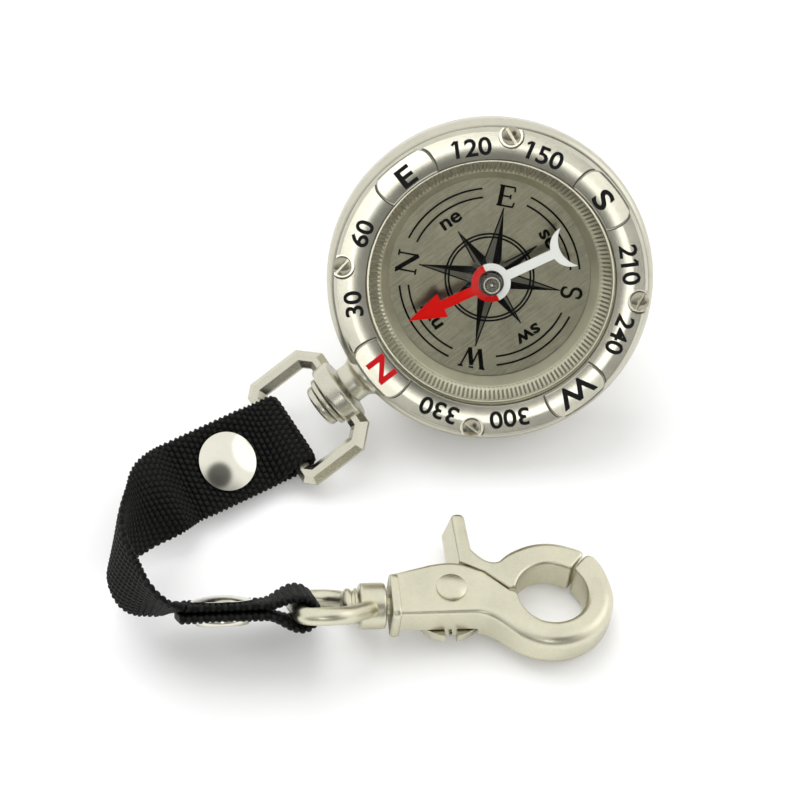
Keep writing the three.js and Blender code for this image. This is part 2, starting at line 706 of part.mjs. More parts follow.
// A solid made about Z, stood on the strap where its rivet sits.
function placed(fold, solid) {
  const { at, along } = fold;
  const { up } = foldFrame(fold, fold.rivet);
  const origin = at.clone().addScaledVector(along, fold.rivet);
  return solid.transform(frameOf(along, new THREE.Vector3().crossVectors(up, along), up, origin).elements);
}

const strapFace = STRAP_THICKNESS + FIT / 2; // outer face of the doubled strap from its middle
const rivetReach = strapFace + RIVET_CAP_RISE;

// Domed cap with its post, and the base that the post is set into.
function buildRivet(fold) {
  const capFoot = strapFace + FIT;
  const baseTop = -strapFace - FIT;
  const baseFoot = baseTop - RIVET_BASE_HEIGHT;
  const socket = RIVET_BASE_HEIGHT * 0.6;
  const dome = domeProfile(RIVET_CAP_RADIUS, capFoot + RIVET_RIM, capFoot + RIVET_CAP_RISE, 5);
  const cap = turned(
    [
      [0, baseTop - socket + FIT],
      [RIVET_POST_RADIUS, baseTop - socket + FIT],
      [RIVET_POST_RADIUS, capFoot],
      [RIVET_CAP_RADIUS, capFoot],
      ...dome,
    ],
    32,
  );
  const base = turned(
    [
      [0, baseFoot],
      [RIVET_BASE_RADIUS - RIVET_RIM, baseFoot],
      [RIVET_BASE_RADIUS, baseFoot + RIVET_RIM],
      [RIVET_BASE_RADIUS, baseTop],
      [RIVET_POST_RADIUS + FIT, baseTop],
      [RIVET_POST_RADIUS + FIT, baseTop - socket],
      [0, baseTop - socket],
    ],
    28,
  );
  return [placed(fold, cap), placed(fold, base)];
}

// The free single layer between the two riveted ends.
function buildBend(loopFold, eyeFold) {
  const apart = (STRAP_THICKNESS + FIT) / 2;
  const [loopStart, eyeStop] = [loopFold.run + FIT, eyeFold.run + FIT];
  const [fromLoop, fromEye] = [foldFrame(loopFold, loopStart), foldFrame(eyeFold, eyeStop)];
  const onRun = ({ at, along }, { up }, s) => at.clone().addScaledVector(along, s).addScaledVector(up, apart);
  const lead = STRAP_SETTLE_LENGTH / 2;
  const middles = BEND_ROUTE.map(({ at }) => new THREE.Vector3(...at));
  const widths = BEND_ROUTE.map(({ width }) => new THREE.Vector3(...width));
  const path = new THREE.CatmullRomCurve3([
    onRun(loopFold, fromLoop, loopStart - lead),
    onRun(loopFold, fromLoop, loopStart),
    onRun(loopFold, fromLoop, loopStart + lead),
    ...middles,
    onRun(eyeFold, fromEye, eyeStop + lead),
    onRun(eyeFold, fromEye, eyeStop),
    onRun(eyeFold, fromEye, eyeStop - lead),
  ]);
  const [first, last] = [fromLoop.across, fromEye.across];
  const lean = new THREE.CatmullRomCurve3([first, first, first, ...widths, last, last, last]);
  const spans = path.points.length - 1;
  const rings = Array.from({ length: BEND_STEPS + 1 }, (_, i) => {
    const t = (1 + ((spans - 2) * i) / BEND_STEPS) / spans;
    const tangent = path.getTangent(t);
    const width = lean.getPoint(t);
    width.addScaledVector(tangent, -width.dot(tangent)).normalize();
    const normal = new THREE.Vector3().crossVectors(width, tangent).normalize();
    return { at: path.getPoint(t), width, normal, half: STRAP_WIDTH / 2 };
  });
  Object.assign(rings[0], { width: fromLoop.across, normal: fromLoop.up });
  Object.assign(rings[BEND_STEPS], { width: fromEye.across, normal: fromEye.up });
  return band(rings);
}

function buildEye() {
  const side = STRAP_WIDTH / 2 + EYE_SIDE_GAP + EYE_BAR_RADIUS;
  const boss = -RUN - EYE_BOSS_LENGTH;
  const corner = -EYE_LENGTH + EYE_CORNER;
  const upper = [
    [boss / 2, EYE_BOSS_RADIUS / 2],
    [boss, EYE_BOSS_RADIUS + EYE_BAR_RADIUS],
    [(boss + corner) / 2, side - EYE_BAR_RADIUS / 4],
    [corner, side],
    [-EYE_LENGTH + EYE_CORNER * 0.3, side - EYE_CORNER * 0.3],
    [-EYE_LENGTH, side - EYE_CORNER],
  ];
  const lower = upper.map(([x, y]) => [x, -y]).reverse();
  const route = new THREE.CatmullRomCurve3(
    [...upper, [-EYE_LENGTH, 0], ...lower].map(([x, y]) => new THREE.Vector3(x, y, 0)),
    false,
    'centripetal',
  );
  const ring = solidOf(tube(route, EYE_BAR_RADIUS, 36, 8));
  const bossBody = turned(
    [
      [0, boss],
      [EYE_BOSS_RADIUS - EYE_BOSS_BEVEL, boss],
      [EYE_BOSS_RADIUS, boss + EYE_BOSS_BEVEL],
      [EYE_BOSS_RADIUS, -RUN - EYE_BOSS_BEVEL],
      [EYE_BOSS_RADIUS - EYE_BOSS_BEVEL, -RUN],
      [0, -RUN],
    ],
    28,
  ).rotate([0, 90, 0]);
  return cut(join(ring, bossBody), barAlongX(EYE_PIN_RADIUS + RUN, boss - EYE_BAR_RADIUS, 0));
}

function buildEyePin() {
  const headFoot = -2 * RUN - EYE_BOSS_LENGTH;
  const headTop = headFoot - EYE_PIN_HEAD_LENGTH;
  const bevel = EYE_PIN_HEAD_LENGTH / 3;
  return turned(
    [
      [0, headTop],
      [EYE_PIN_HEAD_RADIUS - bevel, headTop],
      [EYE_PIN_HEAD_RADIUS, headTop + bevel],
      [EYE_PIN_HEAD_RADIUS, headFoot],
      [EYE_PIN_RADIUS, headFoot],
      [EYE_PIN_RADIUS, EYE_PIN_REACH],
      [0, EYE_PIN_REACH],
    ],
    24,
  ).rotate([0, 90, 0]);
}

const hookTop = HOOK_THICKNESS / 2;
const lapTop = -hookTop + LAP_HEIGHT; // underside of the body over the trigger's hub
const hubTop = lapTop - RUN;
const triggerTop = hookTop - TRIGGER_DROP;

// Upper edge of the body, from the bow's hole back to the collar.
const bodyEdge = [
  [BOW_CENTRE - BOW_HOLE_RADIUS - CROTCH_REACH, CROTCH_RISE],
  ...EDGE_ROUTE.map(([x, y]) => [PIVOT_X + x, PIVOT_Y + y]),
];

function buildHookBody() {
  const half = HOOK_NECK_WIDTH / 2;
  const shape = new THREE.Shape();
  shape.moveTo(RUN, -half);
  shape.lineTo(HOOK_NECK_LENGTH, -half);
  const [meetX, meetY] = onCircle(BOW_RADIUS, BOW_MEET_ANGLE, BOW_CENTRE);
  const [easeX, easeY] = [meetX - BOW_MEET_EASE[0], meetY + BOW_MEET_EASE[1]];
  shape.bezierCurveTo(HOOK_NECK_LENGTH + HOOK_SHOULDER / 2, -half, easeX, easeY, meetX, meetY);
  shape.absarc(BOW_CENTRE, 0, BOW_RADIUS, rad(BOW_MEET_ANGLE), rad(360 + NOSE_ANGLE), false);
  shape.absarc(BOW_CENTRE, 0, BOW_HOLE_RADIUS, rad(NOSE_ANGLE), rad(-178), true);
  shape.lineTo(...bodyEdge[0]);
  shape.splineThru(bodyEdge.slice(1).map(([x, y]) => new THREE.Vector2(x, y)));
  shape.lineTo(RUN, half);
  const body = plate(shape, -hookTop, hookTop, HOOK_BEVEL, 2, 12);
  const collarHalf = HOOK_COLLAR_WIDTH / 2;
  const collarShape = outline([
    [-collarHalf, -hookTop - FIT],
    [collarHalf, -hookTop - FIT],
    [collarHalf, hookTop + FIT],
    [-collarHalf, hookTop + FIT],
  ]);
  const collar = plate(collarShape, RUN, RUN + HOOK_COLLAR_LENGTH, FIT, 1)
    .rotate([90, 0, 90]);
  const clear = HUB_RADIUS + RUN;
  const wide = HUB_RADIUS + clear;
  const lap = outline([
    [RUN + HOOK_COLLAR_LENGTH, -wide],
    [LAP_END, -wide],
    [LAP_END, -half + FIT],
    [PIVOT_X + clear, PIVOT_Y - clear / 4],
    [BOW_CENTRE - BOW_HOLE_RADIUS + FIT, -RUN],
    [BOW_CENTRE - BOW_HOLE_RADIUS + FIT, wide],
    [RUN + HOOK_COLLAR_LENGTH, wide],
  ]);
  const lapCut = plate(lap, -HOOK_THICKNESS, lapTop);
  const hubCut = moved(bar(clear, -HOOK_THICKNESS, lapTop, 32), PIVOT_X, PIVOT_Y);
  const springCut = moved(bar(springPocket, -HOOK_THICKNESS, springTop + FIT, 20), PIVOT_X, PIVOT_Y);
  const pinBore = moved(bar(PIN_RADIUS + FIT, -HOOK_THICKNESS, HOOK_THICKNESS, 16), PIVOT_X, PIVOT_Y);
  const eyeBore = barAlongX(EYE_PIN_RADIUS + FIT, 0, EYE_PIN_REACH + FIT, 20);
  return cut(join(body, collar), lapCut, hubCut, springCut, pinBore, eyeBore);
}

function buildTrigger() {
  const tip = NOSE_ANGLE + TRIGGER_GAP_ANGLE;
  const shape = new THREE.Shape();
  const tabLeft = PIVOT_X + TAB_OFFSET;
  const tabTop = PIVOT_Y + TAB_HEIGHT;
  const tabRoot = bodyEdge[2][1] + TRIGGER_GAP + FIT;
  const [crotchX, crotchY] = bodyEdge[0];
  shape.absarc(BOW_CENTRE, 0, BOW_RADIUS, rad(tip), rad(BOW_ARM_ANGLE), false);
  const [easeX, easeY] = [PIVOT_X + TAB_EASE[0], PIVOT_Y + TAB_EASE[1]];
  shape.quadraticCurveTo(easeX, easeY, tabLeft + TAB_THICKNESS, PIVOT_Y + TAB_ROOT);
  shape.lineTo(tabLeft + TAB_THICKNESS - TAB_LEAN, tabTop);
  shape.lineTo(tabLeft - TAB_LEAN, tabTop);
  shape.lineTo(tabLeft, tabRoot);
  shape.lineTo(bodyEdge[1][0] + FIT, bodyEdge[1][1] + TRIGGER_GAP);
  shape.lineTo(crotchX + FIT / 3, crotchY + 2 * TRIGGER_GAP);
  shape.absarc(BOW_CENTRE, 0, BOW_HOLE_RADIUS, rad(167), rad(tip), true);
  const arm = plate(shape, -hookTop, triggerTop, TRIGGER_BEVEL, 2, 12).warp((spot) => {
    const onTab = THREE.MathUtils.clamp(spot[1] - tabRoot + 1, 0, 1);
    if (spot[0] < tabLeft + TAB_THICKNESS / 2) {
      spot[0] -= (onTab * TAB_DRAFT * (triggerTop - spot[2])) / (triggerTop + hookTop);
    }
  });
  const hub = moved(bar(HUB_RADIUS, -hookTop, hubTop, 32), PIVOT_X, PIVOT_Y);
  const web = outline([
    [PIVOT_X, PIVOT_Y],
    [PIVOT_X + HUB_RADIUS * 0.95, PIVOT_Y - HUB_RADIUS * 0.15],
    [BOW_CENTRE - BOW_HOLE_RADIUS - TRIGGER_GAP, TRIGGER_GAP],
    [BOW_CENTRE - BOW_HOLE_RADIUS - TRIGGER_GAP, crotchY + TAB_THICKNESS],
    [bodyEdge[1][0] + TAB_THICKNESS / 2, bodyEdge[1][1] + TAB_THICKNESS * 0.75],
    [tabLeft + TAB_THICKNESS / 2, bodyEdge[2][1] + TAB_THICKNESS * 0.75],
  ]);
  const low = plate(web, -hookTop, hubTop);
  const notchHalf = HUB_NOTCH_WIDTH / 2;
  const notchFoot = PIVOT_Y - HUB_RADIUS;
  const notch = box(
    PIVOT_X - notchHalf,
    PIVOT_X + notchHalf,
    notchFoot - FIT,
    notchFoot + HUB_NOTCH_DEPTH,
    -HOOK_THICKNESS,
    hubTop + FIT,
  );
  const grooveHalf = SPRING_WIRE_RADIUS + FIT;
  const groove = box(
    PIVOT_X - grooveHalf,
    PIVOT_X + grooveHalf,
    notchFoot - FIT,
    PIVOT_Y,
    hubTop - 2 * grooveHalf,
    hubTop + FIT,
  );
  const bore = moved(bar(PIN_RADIUS + RUN, -HOOK_THICKNESS, HOOK_THICKNESS, 16), PIVOT_X, PIVOT_Y);
  return cut(join(hub, low, arm), notch, groove, bore);
}

function buildTriggerPin() {
  const headFoot = hookTop + FIT;
  const tailTop = -hookTop - FIT;
  const body = turned(
    [
      [0, tailTop - PIN_TAIL_HEIGHT],
      [PIN_TAIL_RADIUS, tailTop - PIN_TAIL_HEIGHT],
      [PIN_TAIL_RADIUS, tailTop],
      [PIN_RADIUS, tailTop],
      [PIN_RADIUS, headFoot],
      [PIN_HEAD_RADIUS, headFoot],
      ...domeProfile(PIN_HEAD_RADIUS, headFoot + FIT, headFoot + PIN_HEAD_RISE, 4),
    ],
    24,
  );
  return moved(body, PIVOT_X, PIVOT_Y);
}

const springPitch = 2 * SPRING_WIRE_RADIUS + SPRING_GAP;
const springPocket = SPRING_RADIUS + SPRING_WIRE_RADIUS + FIT;
const springFoot = lapTop + SPRING_WIRE_RADIUS;
const springTop = springFoot + SPRING_TURNS * springPitch + SPRING_WIRE_RADIUS;

// Torsion spring round the trigger's rivet, one leg down into the hub's groove.
function buildSpring() {
  const steps = 8 * SPRING_TURNS;
  const legHeight = hubTop - FIT - SPRING_WIRE_RADIUS;
  const legEnd = -HUB_RADIUS + HUB_NOTCH_DEPTH / 2;
  const points = [
    new THREE.Vector3(0, legEnd, legHeight),
    new THREE.Vector3(0, legEnd + 2 * SPRING_WIRE_RADIUS, legHeight),
    new THREE.Vector3(0, -SPRING_RADIUS - 2 * SPRING_WIRE_RADIUS, legHeight),
  ];
  for (let i = 0; i <= steps; i += 1) {
    const [x, y] = onCircle(SPRING_RADIUS, -90 + (360 * SPRING_TURNS * i) / steps);
    points.push(new THREE.Vector3(x, y, springFoot + (SPRING_TURNS * springPitch * i) / steps));
  }
  const route = new THREE.CatmullRomCurve3(points, false, 'centripetal');
  const samples = route.getPoints(160);
  let least = Infinity;
  samples.forEach((p, i) => {
    for (let j = i + 24; j < samples.length; j += 1) least = Math.min(least, p.distanceTo(samples[j]));
  });
  console.log(`trigger_spring least gap ${(least - 2 * SPRING_WIRE_RADIUS).toFixed(2)} mm`);
  return moved(solidOf(tube(route, SPRING_WIRE_RADIUS, 8 * SPRING_TURNS + 12, 5)), PIVOT_X, PIVOT_Y);
}

// The whole keychain
const keychain = new THREE.Group();

const stemWay = STEM_WAY.clone().addScaledVector(COMPASS_FACE, -STEM_WAY.dot(COMPASS_FACE)).normalize();
const compassSide = new THREE.Vector3().crossVectors(COMPASS_FACE, stemWay);
const compassFrame = frameOf(stemWay, compassSide, COMPASS_FACE, COMPASS_AT);
const compass = groupAt(compassFrame);
buildCompass(compass);
keychain.add(compass);

// The loop turns on the swivel pin, and the strap lifts away from the loop's plane.
const stemRoot = COMPASS_AT.clone().addScaledVector(COMPASS_FACE, -STEM_DROP);
const loopFlat = LOOP_SIDE_WAY.clone().addScaledVector(stemWay, -LOOP_SIDE_WAY.dot(stemWay)).normalize();
const loopAcross = loopFlat.applyAxisAngle(stemWay, rad(LOOP_ROLL));
const loopUp = new THREE.Vector3().crossVectors(stemWay, loopAcross).negate();
const loop = groupAt(frameOf(stemWay, loopAcross.clone().negate(), loopUp, stemRoot));
piece(loop, 'strap_loop', buildLoop(), satinNickel());
keychain.add(loop);

const loopFold = {
  at: stemRoot.clone().addScaledVector(stemWay, loopBarAt),
  along: stemWay.clone().applyAxisAngle(loopAcross, rad(LOOP_LIFT)),
  up: loopUp.clone().applyAxisAngle(loopAcross, rad(LOOP_LIFT)),
  across: loopAcross,
  twist: LOOP_TWIST,
  rivet: LOOP_RIVET_OFFSET,
  doubled: LOOP_DOUBLE_LENGTH,
  run: LOOP_RUN_LENGTH,
};

// Hook axis, and the eye ring rolled about it so that the ring's far side rests on the table.
const hookWay = new THREE.Vector3(1, 0, 0)
  .applyAxisAngle(new THREE.Vector3(0, 1, 0), rad(HOOK_PITCH))
  .applyAxisAngle(new THREE.Vector3(0, 0, 1), rad(HOOK_YAW));
const hookSide = new THREE.Vector3(0, 0, 1).cross(hookWay).normalize();
const hookUp = new THREE.Vector3().crossVectors(hookWay, hookSide);
const eyeSide = hookSide.clone().applyAxisAngle(hookWay, rad(EYE_ROLL));
const eyeUp = new THREE.Vector3().crossVectors(hookWay, eyeSide);

const eye = groupAt(frameOf(hookWay, eyeSide, eyeUp, HOOK_AT));
piece(eye, 'eye_ring', buildEye(), satinNickel());
keychain.add(eye);

const hook = groupAt(frameOf(hookWay, hookSide, hookUp, HOOK_AT));
piece(hook, 'eye_rivet', buildEyePin(), satinNickel());
piece(hook, 'hook_body', buildHookBody(), satinNickel());
piece(hook, 'trigger', buildTrigger(), satinNickel());
piece(hook, 'trigger_pivot', buildTriggerPin(), satinNickel());
piece(hook, 'trigger_spring', buildSpring(), finish('#b8bcc0', 0.3, 1));
keychain.add(hook);

const eyeFold = {
  at: HOOK_AT.clone().addScaledVector(hookWay, -EYE_LENGTH),
  along: hookWay.clone().negate().applyAxisAngle(eyeSide, rad(STRAP_DROOP)),
  up: eyeUp.clone().applyAxisAngle(eyeSide, rad(STRAP_DROOP)),
  across: eyeSide.clone().negate(),
  twist: EYE_TWIST,
  rivet: EYE_RIVET_OFFSET,
  doubled: EYE_DOUBLE_LENGTH,
  run: EYE_RUN_LENGTH,
};

piece(keychain, 'strap_compass_half', foldedEnd(loopFold, LOOP_BAR / 2, STRAP_SQUEEZED_WIDTH), blackNylon());
piece(keychain, 'strap_bend', buildBend(loopFold, eyeFold), blackNylon());
piece(keychain, 'strap_hook_half', foldedEnd(eyeFold, EYE_BAR_RADIUS, STRAP_WIDTH), blackNylon());
[loopFold, eyeFold].forEach((fold, i) => {
  const [cap, base] = buildRivet(fold);
  piece(keychain, `rivet_cap_${i + 1}`, cap, brightNickel());
  piece(keychain, `rivet_base_${i + 1}`, base, brightNickel());
});

// Stand the keychain on the table with its middle over the origin.
keychain.updateMatrixWorld(true);
const extent = new THREE.Box3().setFromObject(keychain, true);
const middle = extent.getCenter(new THREE.Vector3());
keychain.position.set(-middle.x, -middle.y, -extent.min.z);

export default keychain;
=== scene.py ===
"""Looks of the compass keychain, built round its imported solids.

A pocket compass with a screwed, lettered bezel hangs by a swivel loop from a riveted
webbing strap, whose other end holds the eye ring of a trigger snap hook. Every piece is
made in millimetres in the frame of its sub-assembly and then set in the shared frame.
"""

from __future__ import annotations

import json
import logging
import math
from dataclasses import dataclass, field
from enum import Enum
from typing import Any, Callable, Iterable, Sequence

import bmesh
import bpy
from mathutils import Matrix, Vector, geometry

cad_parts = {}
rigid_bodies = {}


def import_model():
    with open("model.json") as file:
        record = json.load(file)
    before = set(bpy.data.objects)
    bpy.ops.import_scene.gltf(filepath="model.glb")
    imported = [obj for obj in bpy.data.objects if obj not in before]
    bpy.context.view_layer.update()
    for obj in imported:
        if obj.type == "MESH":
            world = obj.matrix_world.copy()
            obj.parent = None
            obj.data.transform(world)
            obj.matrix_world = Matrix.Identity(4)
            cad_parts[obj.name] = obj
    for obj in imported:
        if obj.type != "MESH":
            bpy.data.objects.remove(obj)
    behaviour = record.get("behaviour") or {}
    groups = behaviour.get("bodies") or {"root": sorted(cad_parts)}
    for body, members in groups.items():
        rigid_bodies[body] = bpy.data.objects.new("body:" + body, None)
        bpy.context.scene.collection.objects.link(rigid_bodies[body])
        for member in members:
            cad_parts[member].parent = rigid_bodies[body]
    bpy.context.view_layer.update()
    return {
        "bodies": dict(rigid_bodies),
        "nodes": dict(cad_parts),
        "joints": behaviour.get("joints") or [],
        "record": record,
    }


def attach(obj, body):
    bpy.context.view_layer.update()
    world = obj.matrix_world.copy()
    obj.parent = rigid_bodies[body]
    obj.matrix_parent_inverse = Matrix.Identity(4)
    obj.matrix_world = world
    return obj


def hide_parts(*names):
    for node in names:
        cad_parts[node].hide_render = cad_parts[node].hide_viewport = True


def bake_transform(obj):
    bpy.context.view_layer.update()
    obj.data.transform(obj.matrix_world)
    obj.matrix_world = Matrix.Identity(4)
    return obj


MM = 0.001
FULL_TURN = 2 * math.pi
QUARTERS = (0, 90, 180, 270)
DIAGONALS = (45, 135, 225, 315)
Z_TO_X = Matrix.Rotation(math.pi / 2, 4, "Y")  # lays a shape turned about Z along X
# Stands a plate across X
XY_TO_YZ = Matrix(((0, 0, 1, 0), (1, 0, 0, 0), (0, 1, 0, 0), (0, 0, 0, 1)))
WELD = 1e-4  # distance in millimetres within which points become one
FLAT = 0.9  # least upright share of the normal of a flat face
CAPITAL_SHARE = 0.73  # height of a capital in the font's size
SHARP = 40.0  # usual angle in degrees past which an edge is sharp
NECK_DROP = 5.7  # swivel axis below the middle of the compass, in millimetres
log = logging.getLogger("keychain")

Shape = bmesh.types.BMesh
Vert = bmesh.types.BMVert
Edge = bmesh.types.BMEdge
Material = bpy.types.Material
Thing = bpy.types.Object
Point = tuple[float, float]
Colour = tuple[float, float, float]
Place = tuple[float, float, float]


class Grain(Enum):
    """How the surface of a metal was worked."""

    BLASTED = "blasted"
    SPUN = "spun"
    BRUSHED = "brushed"


class Body(str, Enum):
    """The moving bodies of the keychain."""

    COMPASS = "compass"
    NEEDLE = "needle_set"
    LOOP = "loop"
    STRAP_UPPER = "strap_upper"
    STRAP_LOWER = "strap_lower"
    EYE = "eye"
    HOOK = "hook"
    TRIGGER = "trigger_arm"


# Shader building


class Val:
    """A socket of a shader, with operators that add Math nodes."""

    def __init__(self, net: Net, socket: bpy.types.NodeSocket) -> None:
        """Wraps one output socket of a net."""
        self.net = net
        self.socket = socket

    def math(self, operation: str, *others: Any) -> Val:
        """A Math node on this value and further values or numbers."""
        return self.net.math(operation, self, *others)

    def __add__(self, other: Any) -> Val:
        """Sum of two values."""
        return self.math("ADD", other)

    def __radd__(self, other: Any) -> Val:
        """Sum, with this value second."""
        return self.net.math("ADD", other, self)

    def __sub__(self, other: Any) -> Val:
        """Difference of two values."""
        return self.math("SUBTRACT", other)

    def __rsub__(self, other: Any) -> Val:
        """Difference, with this value second."""
        return self.net.math("SUBTRACT", other, self)

    def __mul__(self, other: Any) -> Val:
        """Product of two values."""
        return self.math("MULTIPLY", other)

    def __rmul__(self, other: Any) -> Val:
        """Product, with this value second."""
        return self.net.math("MULTIPLY", other, self)

    def clamped(self) -> Val:
        """This value held between 0 and 1."""
        return self.math("MAXIMUM", 0.0).math("MINIMUM", 1.0)


class Net:
    """The node tree of one material or of the world."""

    def __init__(self, tree: bpy.types.NodeTree) -> None:
        """Clears a node tree and keeps it."""
        self.tree = tree
        tree.nodes.clear()

    def node(
        self,
        kind: str,
        settings: dict[str, Any] | None = None,
        inputs: dict[str | int, Any] | None = None,
    ) -> bpy.types.Node:
        """Adds one node.

        Args:
            kind: Type name of the node, without its family prefix.
            settings: Properties of the node.
            inputs: Values, or sockets to link, by socket name or number.
        Returns:
            The new node.
        """
        made = self.tree.nodes.new("ShaderNode" + kind)
        for name, value in (settings or {}).items():
            setattr(made, name, value)
        for name, value in (inputs or {}).items():
            socket = made.inputs[name]
            if isinstance(value, Val):
                self.tree.links.new(value.socket, socket)
            else:
                socket.default_value = value
        return made

    def out(self, node: bpy.types.Node, name: str | int = 0) -> Val:
        """One output of a node as a value."""
        return Val(self, node.outputs[name])

    def value(self, kind: str, inputs: dict[str | int, Any], output: str | int = 0) -> Val:
        """One output of a new node with the usual settings."""
        return self.out(self.node(kind, None, inputs), output)

    def coords(self, output: str) -> Val:
        """Coordinates of one kind."""
        return self.value("TexCoord", {}, output)

    def parts(self, vector: Val) -> list[Val]:
        """The three parts of a vector."""
        split = self.node("SeparateXYZ", None, {"Vector": vector})
        return [self.out(split, i) for i in range(3)]

    def math(self, operation: str, *values: Any) -> Val:
        """A Math node on values or numbers."""
        return self.out(self.node("Math", {"operation": operation}, dict(enumerate(values))))

    def local(self, place: Matrix) -> Val:
        """Object coordinates in millimetres, in a sub-assembly's own frame.

        Args:
            place: That frame.
        Returns:
            The coordinates.
        """
        inputs = {
            "Vector": self.coords("Object"),
            "Location": place.translation,
            "Rotation": place.to_euler(),
            "Scale": (MM, MM, MM),
        }
        return self.out(self.node("Mapping", {"vector_type": "TEXTURE"}, inputs))

    def stretched(self, coords: Val, scale: Sequence[float]) -> Val:
        """Coordinates scaled by a different amount along each axis."""
        return self.value("Mapping", {"Vector": coords, "Scale": tuple(scale)})

    def noise(self, coords: Val, scale: float, detail: float = 3.0, rough: float = 0.55) -> Val:
        """Noise from 0 to 1 on coordinates."""
        inputs = {"Vector": coords, "Scale": scale, "Detail": detail, "Roughness": rough}
        return self.value("TexNoise", inputs, "Fac")

    def mix(self, factor: Val, low: Colour, high: Colour) -> Val:
        """A colour between two colours.

        Args:
            factor: Share of the second.
            low: The first.
            high: The second.
        Returns:
            The colour.
        """
        settings = {"data_type": "RGBA", "clamp_factor": True}
        made = self.node("Mix", settings, {0: factor, 6: (*low, 1.0), 7: (*high, 1.0)})
        return self.out(made, 2)

    def bump(self, height: Val, strength: float, distance: float) -> Val:
        """A normal from a height, with the distance in millimetres."""
        inputs = {"Height": height, "Strength": strength, "Distance": distance * MM}
        return self.value("Bump", inputs)

    def surface(self, inputs: dict[str | int, Any]) -> None:
        """Ends a material in one Principled shader."""
        self.node("OutputMaterial", None, {"Surface": self.value("BsdfPrincipled", inputs)})


def new_material(name: str, colour: Colour) -> tuple[Material, Net]:
    """Makes a material.

    Args:
        name: Its name.
        colour: Its plain colour.
    Returns:
        The material and its cleared net.
    """
    material = bpy.data.materials.new(name)
    material.use_nodes = True
    material.diffuse_color = (*colour, 1.0)
    return material, Net(material.node_tree)


# Finishes


@dataclass(frozen=True)
class Metal:
    """A plated or bare metal surface."""

    name: str
    colour: Colour
    roughness: float
    grain: Grain = Grain.BLASTED
    grain_size: float = 0.16
    relief: float = 0.012
    uneven: float = 0.10
    dark: float = 0.80
    streaks: float = 0.30
    cloud_scale: float = 0.22
    cloud_share: float = 0.6
    spot_scale: float = 1.9
    spot_share: float = 0.3
    threshold: float = 0.27
    contrast: float = 2.6
    bump: float = 0.35
    brush_stretch: float = 0.03

    def material(self, place: Matrix) -> Material:
        """Builds the metal.

        Args:
            place: Frame of the sub-assembly that the grain follows.
        Returns:
            The material.
        """
        material, net = new_material(self.name, self.colour)
        coords = net.local(place)
        grain = self.grain_noise(net, coords)
        clouds = net.noise(coords, self.cloud_scale, 4.0)
        spots = net.noise(coords, self.spot_scale, 5.0, 0.7)
        marks = clouds * self.cloud_share + spots * self.spot_share + grain * self.streaks
        shade = (marks - self.threshold - self.streaks / 2).clamped() * self.contrast
        darker = tuple(c * self.dark for c in self.colour)
        rough = clouds * self.uneven + grain * self.uneven + (self.roughness - self.uneven)
        net.surface(
            {
                "Base Color": net.mix(shade.clamped(), darker, self.colour),
                "Metallic": 1.0,
                "Roughness": rough,
                "Normal": net.bump(grain, self.bump, self.relief),
            }
        )
        return material

    def grain_noise(self, net: Net, coords: Val) -> Val:
        """Noise that follows the way the metal was worked.

        Args:
            net: The metal's net.
            coords: Coordinates on it.
        Returns:
            The noise.
        """
        fine = 1.0 / self.grain_size
        if self.grain is Grain.BLASTED:
            return net.noise(coords, fine, 2.0)
        if self.grain is Grain.BRUSHED:
            stretch = (fine * self.brush_stretch, fine, fine)
            return net.noise(net.stretched(coords, stretch), 1.0, 2.0)
        across, along, up = net.parts(coords)
        radius = (across * across + along * along).math("SQRT")
        return net.noise(net.value("CombineXYZ", {"X": radius, "Y": up}), fine, 3.0, 0.7)


@dataclass(frozen=True)
class Paint:
    """An opaque paint, print or rubber with a faintly uneven coat."""

    name: str
    colour: Colour
    roughness: float
    thin: float = 0.85
    relief: float = 0.01
    cell: float = 0.35
    gloss: float = 0.3
    wash_scale: float = 0.3
    uneven: float = 0.16
    bump: float = 0.3

    def material(self, place: Matrix) -> Material:
        """Builds the paint.

        Args:
            place: Frame of the sub-assembly.
        Returns:
            The material.
        """
        material, net = new_material(self.name, self.colour)
        coords = net.local(place)
        coat = net.noise(coords, 1.0 / self.cell, 4.0)
        wash = net.noise(coords, self.wash_scale, 2.0)
        thinner = tuple(c * self.thin for c in self.colour)
        net.surface(
            {
                "Base Color": net.mix(wash, thinner, self.colour),
                "Roughness": coat * self.uneven + (self.roughness - self.uneven / 2),
                "Normal": net.bump(coat, self.bump, self.relief),
                "Specular IOR Level": self.gloss,
            }
        )
        return material


@dataclass(frozen=True)
class Webbing:
    """Woven nylon, with painted shade that darkens its colour into the gaps between its yarns,
    plus fibres and dust.
    """

    name: str = "black_webbing"
    # low is the colour of the painted shade between the yarns, high that of their tops
    low: Colour = (0.001, 0.001, 0.001)
    high: Colour = (0.014, 0.0145, 0.0125)
    roughness: float = 0.40
    uneven: float = 0.25
    gloss: float = 0.15
    weave_share: float = 0.75
    fibre_scale: float = 9.0
    fibre_share: float = 0.35
    dust_scale: float = 0.35
    dust_share: float = 0.3
    threshold: float = 0.3
    bump: float = 0.55
    fuzz: float = 0.05

    def material(self, place: Matrix) -> Material:
        """Builds the cloth.

        Args:
            place: Frame of the sub-assembly.
        Returns:
            The material.
        """
        material, net = new_material(self.name, self.high)
        coords = net.local(place)
        weave = net.out(net.node("Attribute", {"attribute_name": "weave"}), "Fac")
        fibres = net.noise(coords, self.fibre_scale, 3.0, 0.6)
        dust = net.noise(coords, self.dust_scale, 3.0)
        # Painted shade: the colour follows the yarns' height, darker in the gaps between them
        yarns = weave * weave * self.weave_share
        marks = yarns + fibres * self.fibre_share + dust * self.dust_share
        painted_shade_and_dust = (marks - self.threshold).clamped()
        net.surface(
            {
                "Base Color": net.mix(painted_shade_and_dust, self.low, self.high),
                "Roughness": fibres * self.uneven + self.roughness,
                "Normal": net.bump(fibres, self.bump, self.fuzz),
                "Specular IOR Level": self.gloss,
            }
        )
        return material


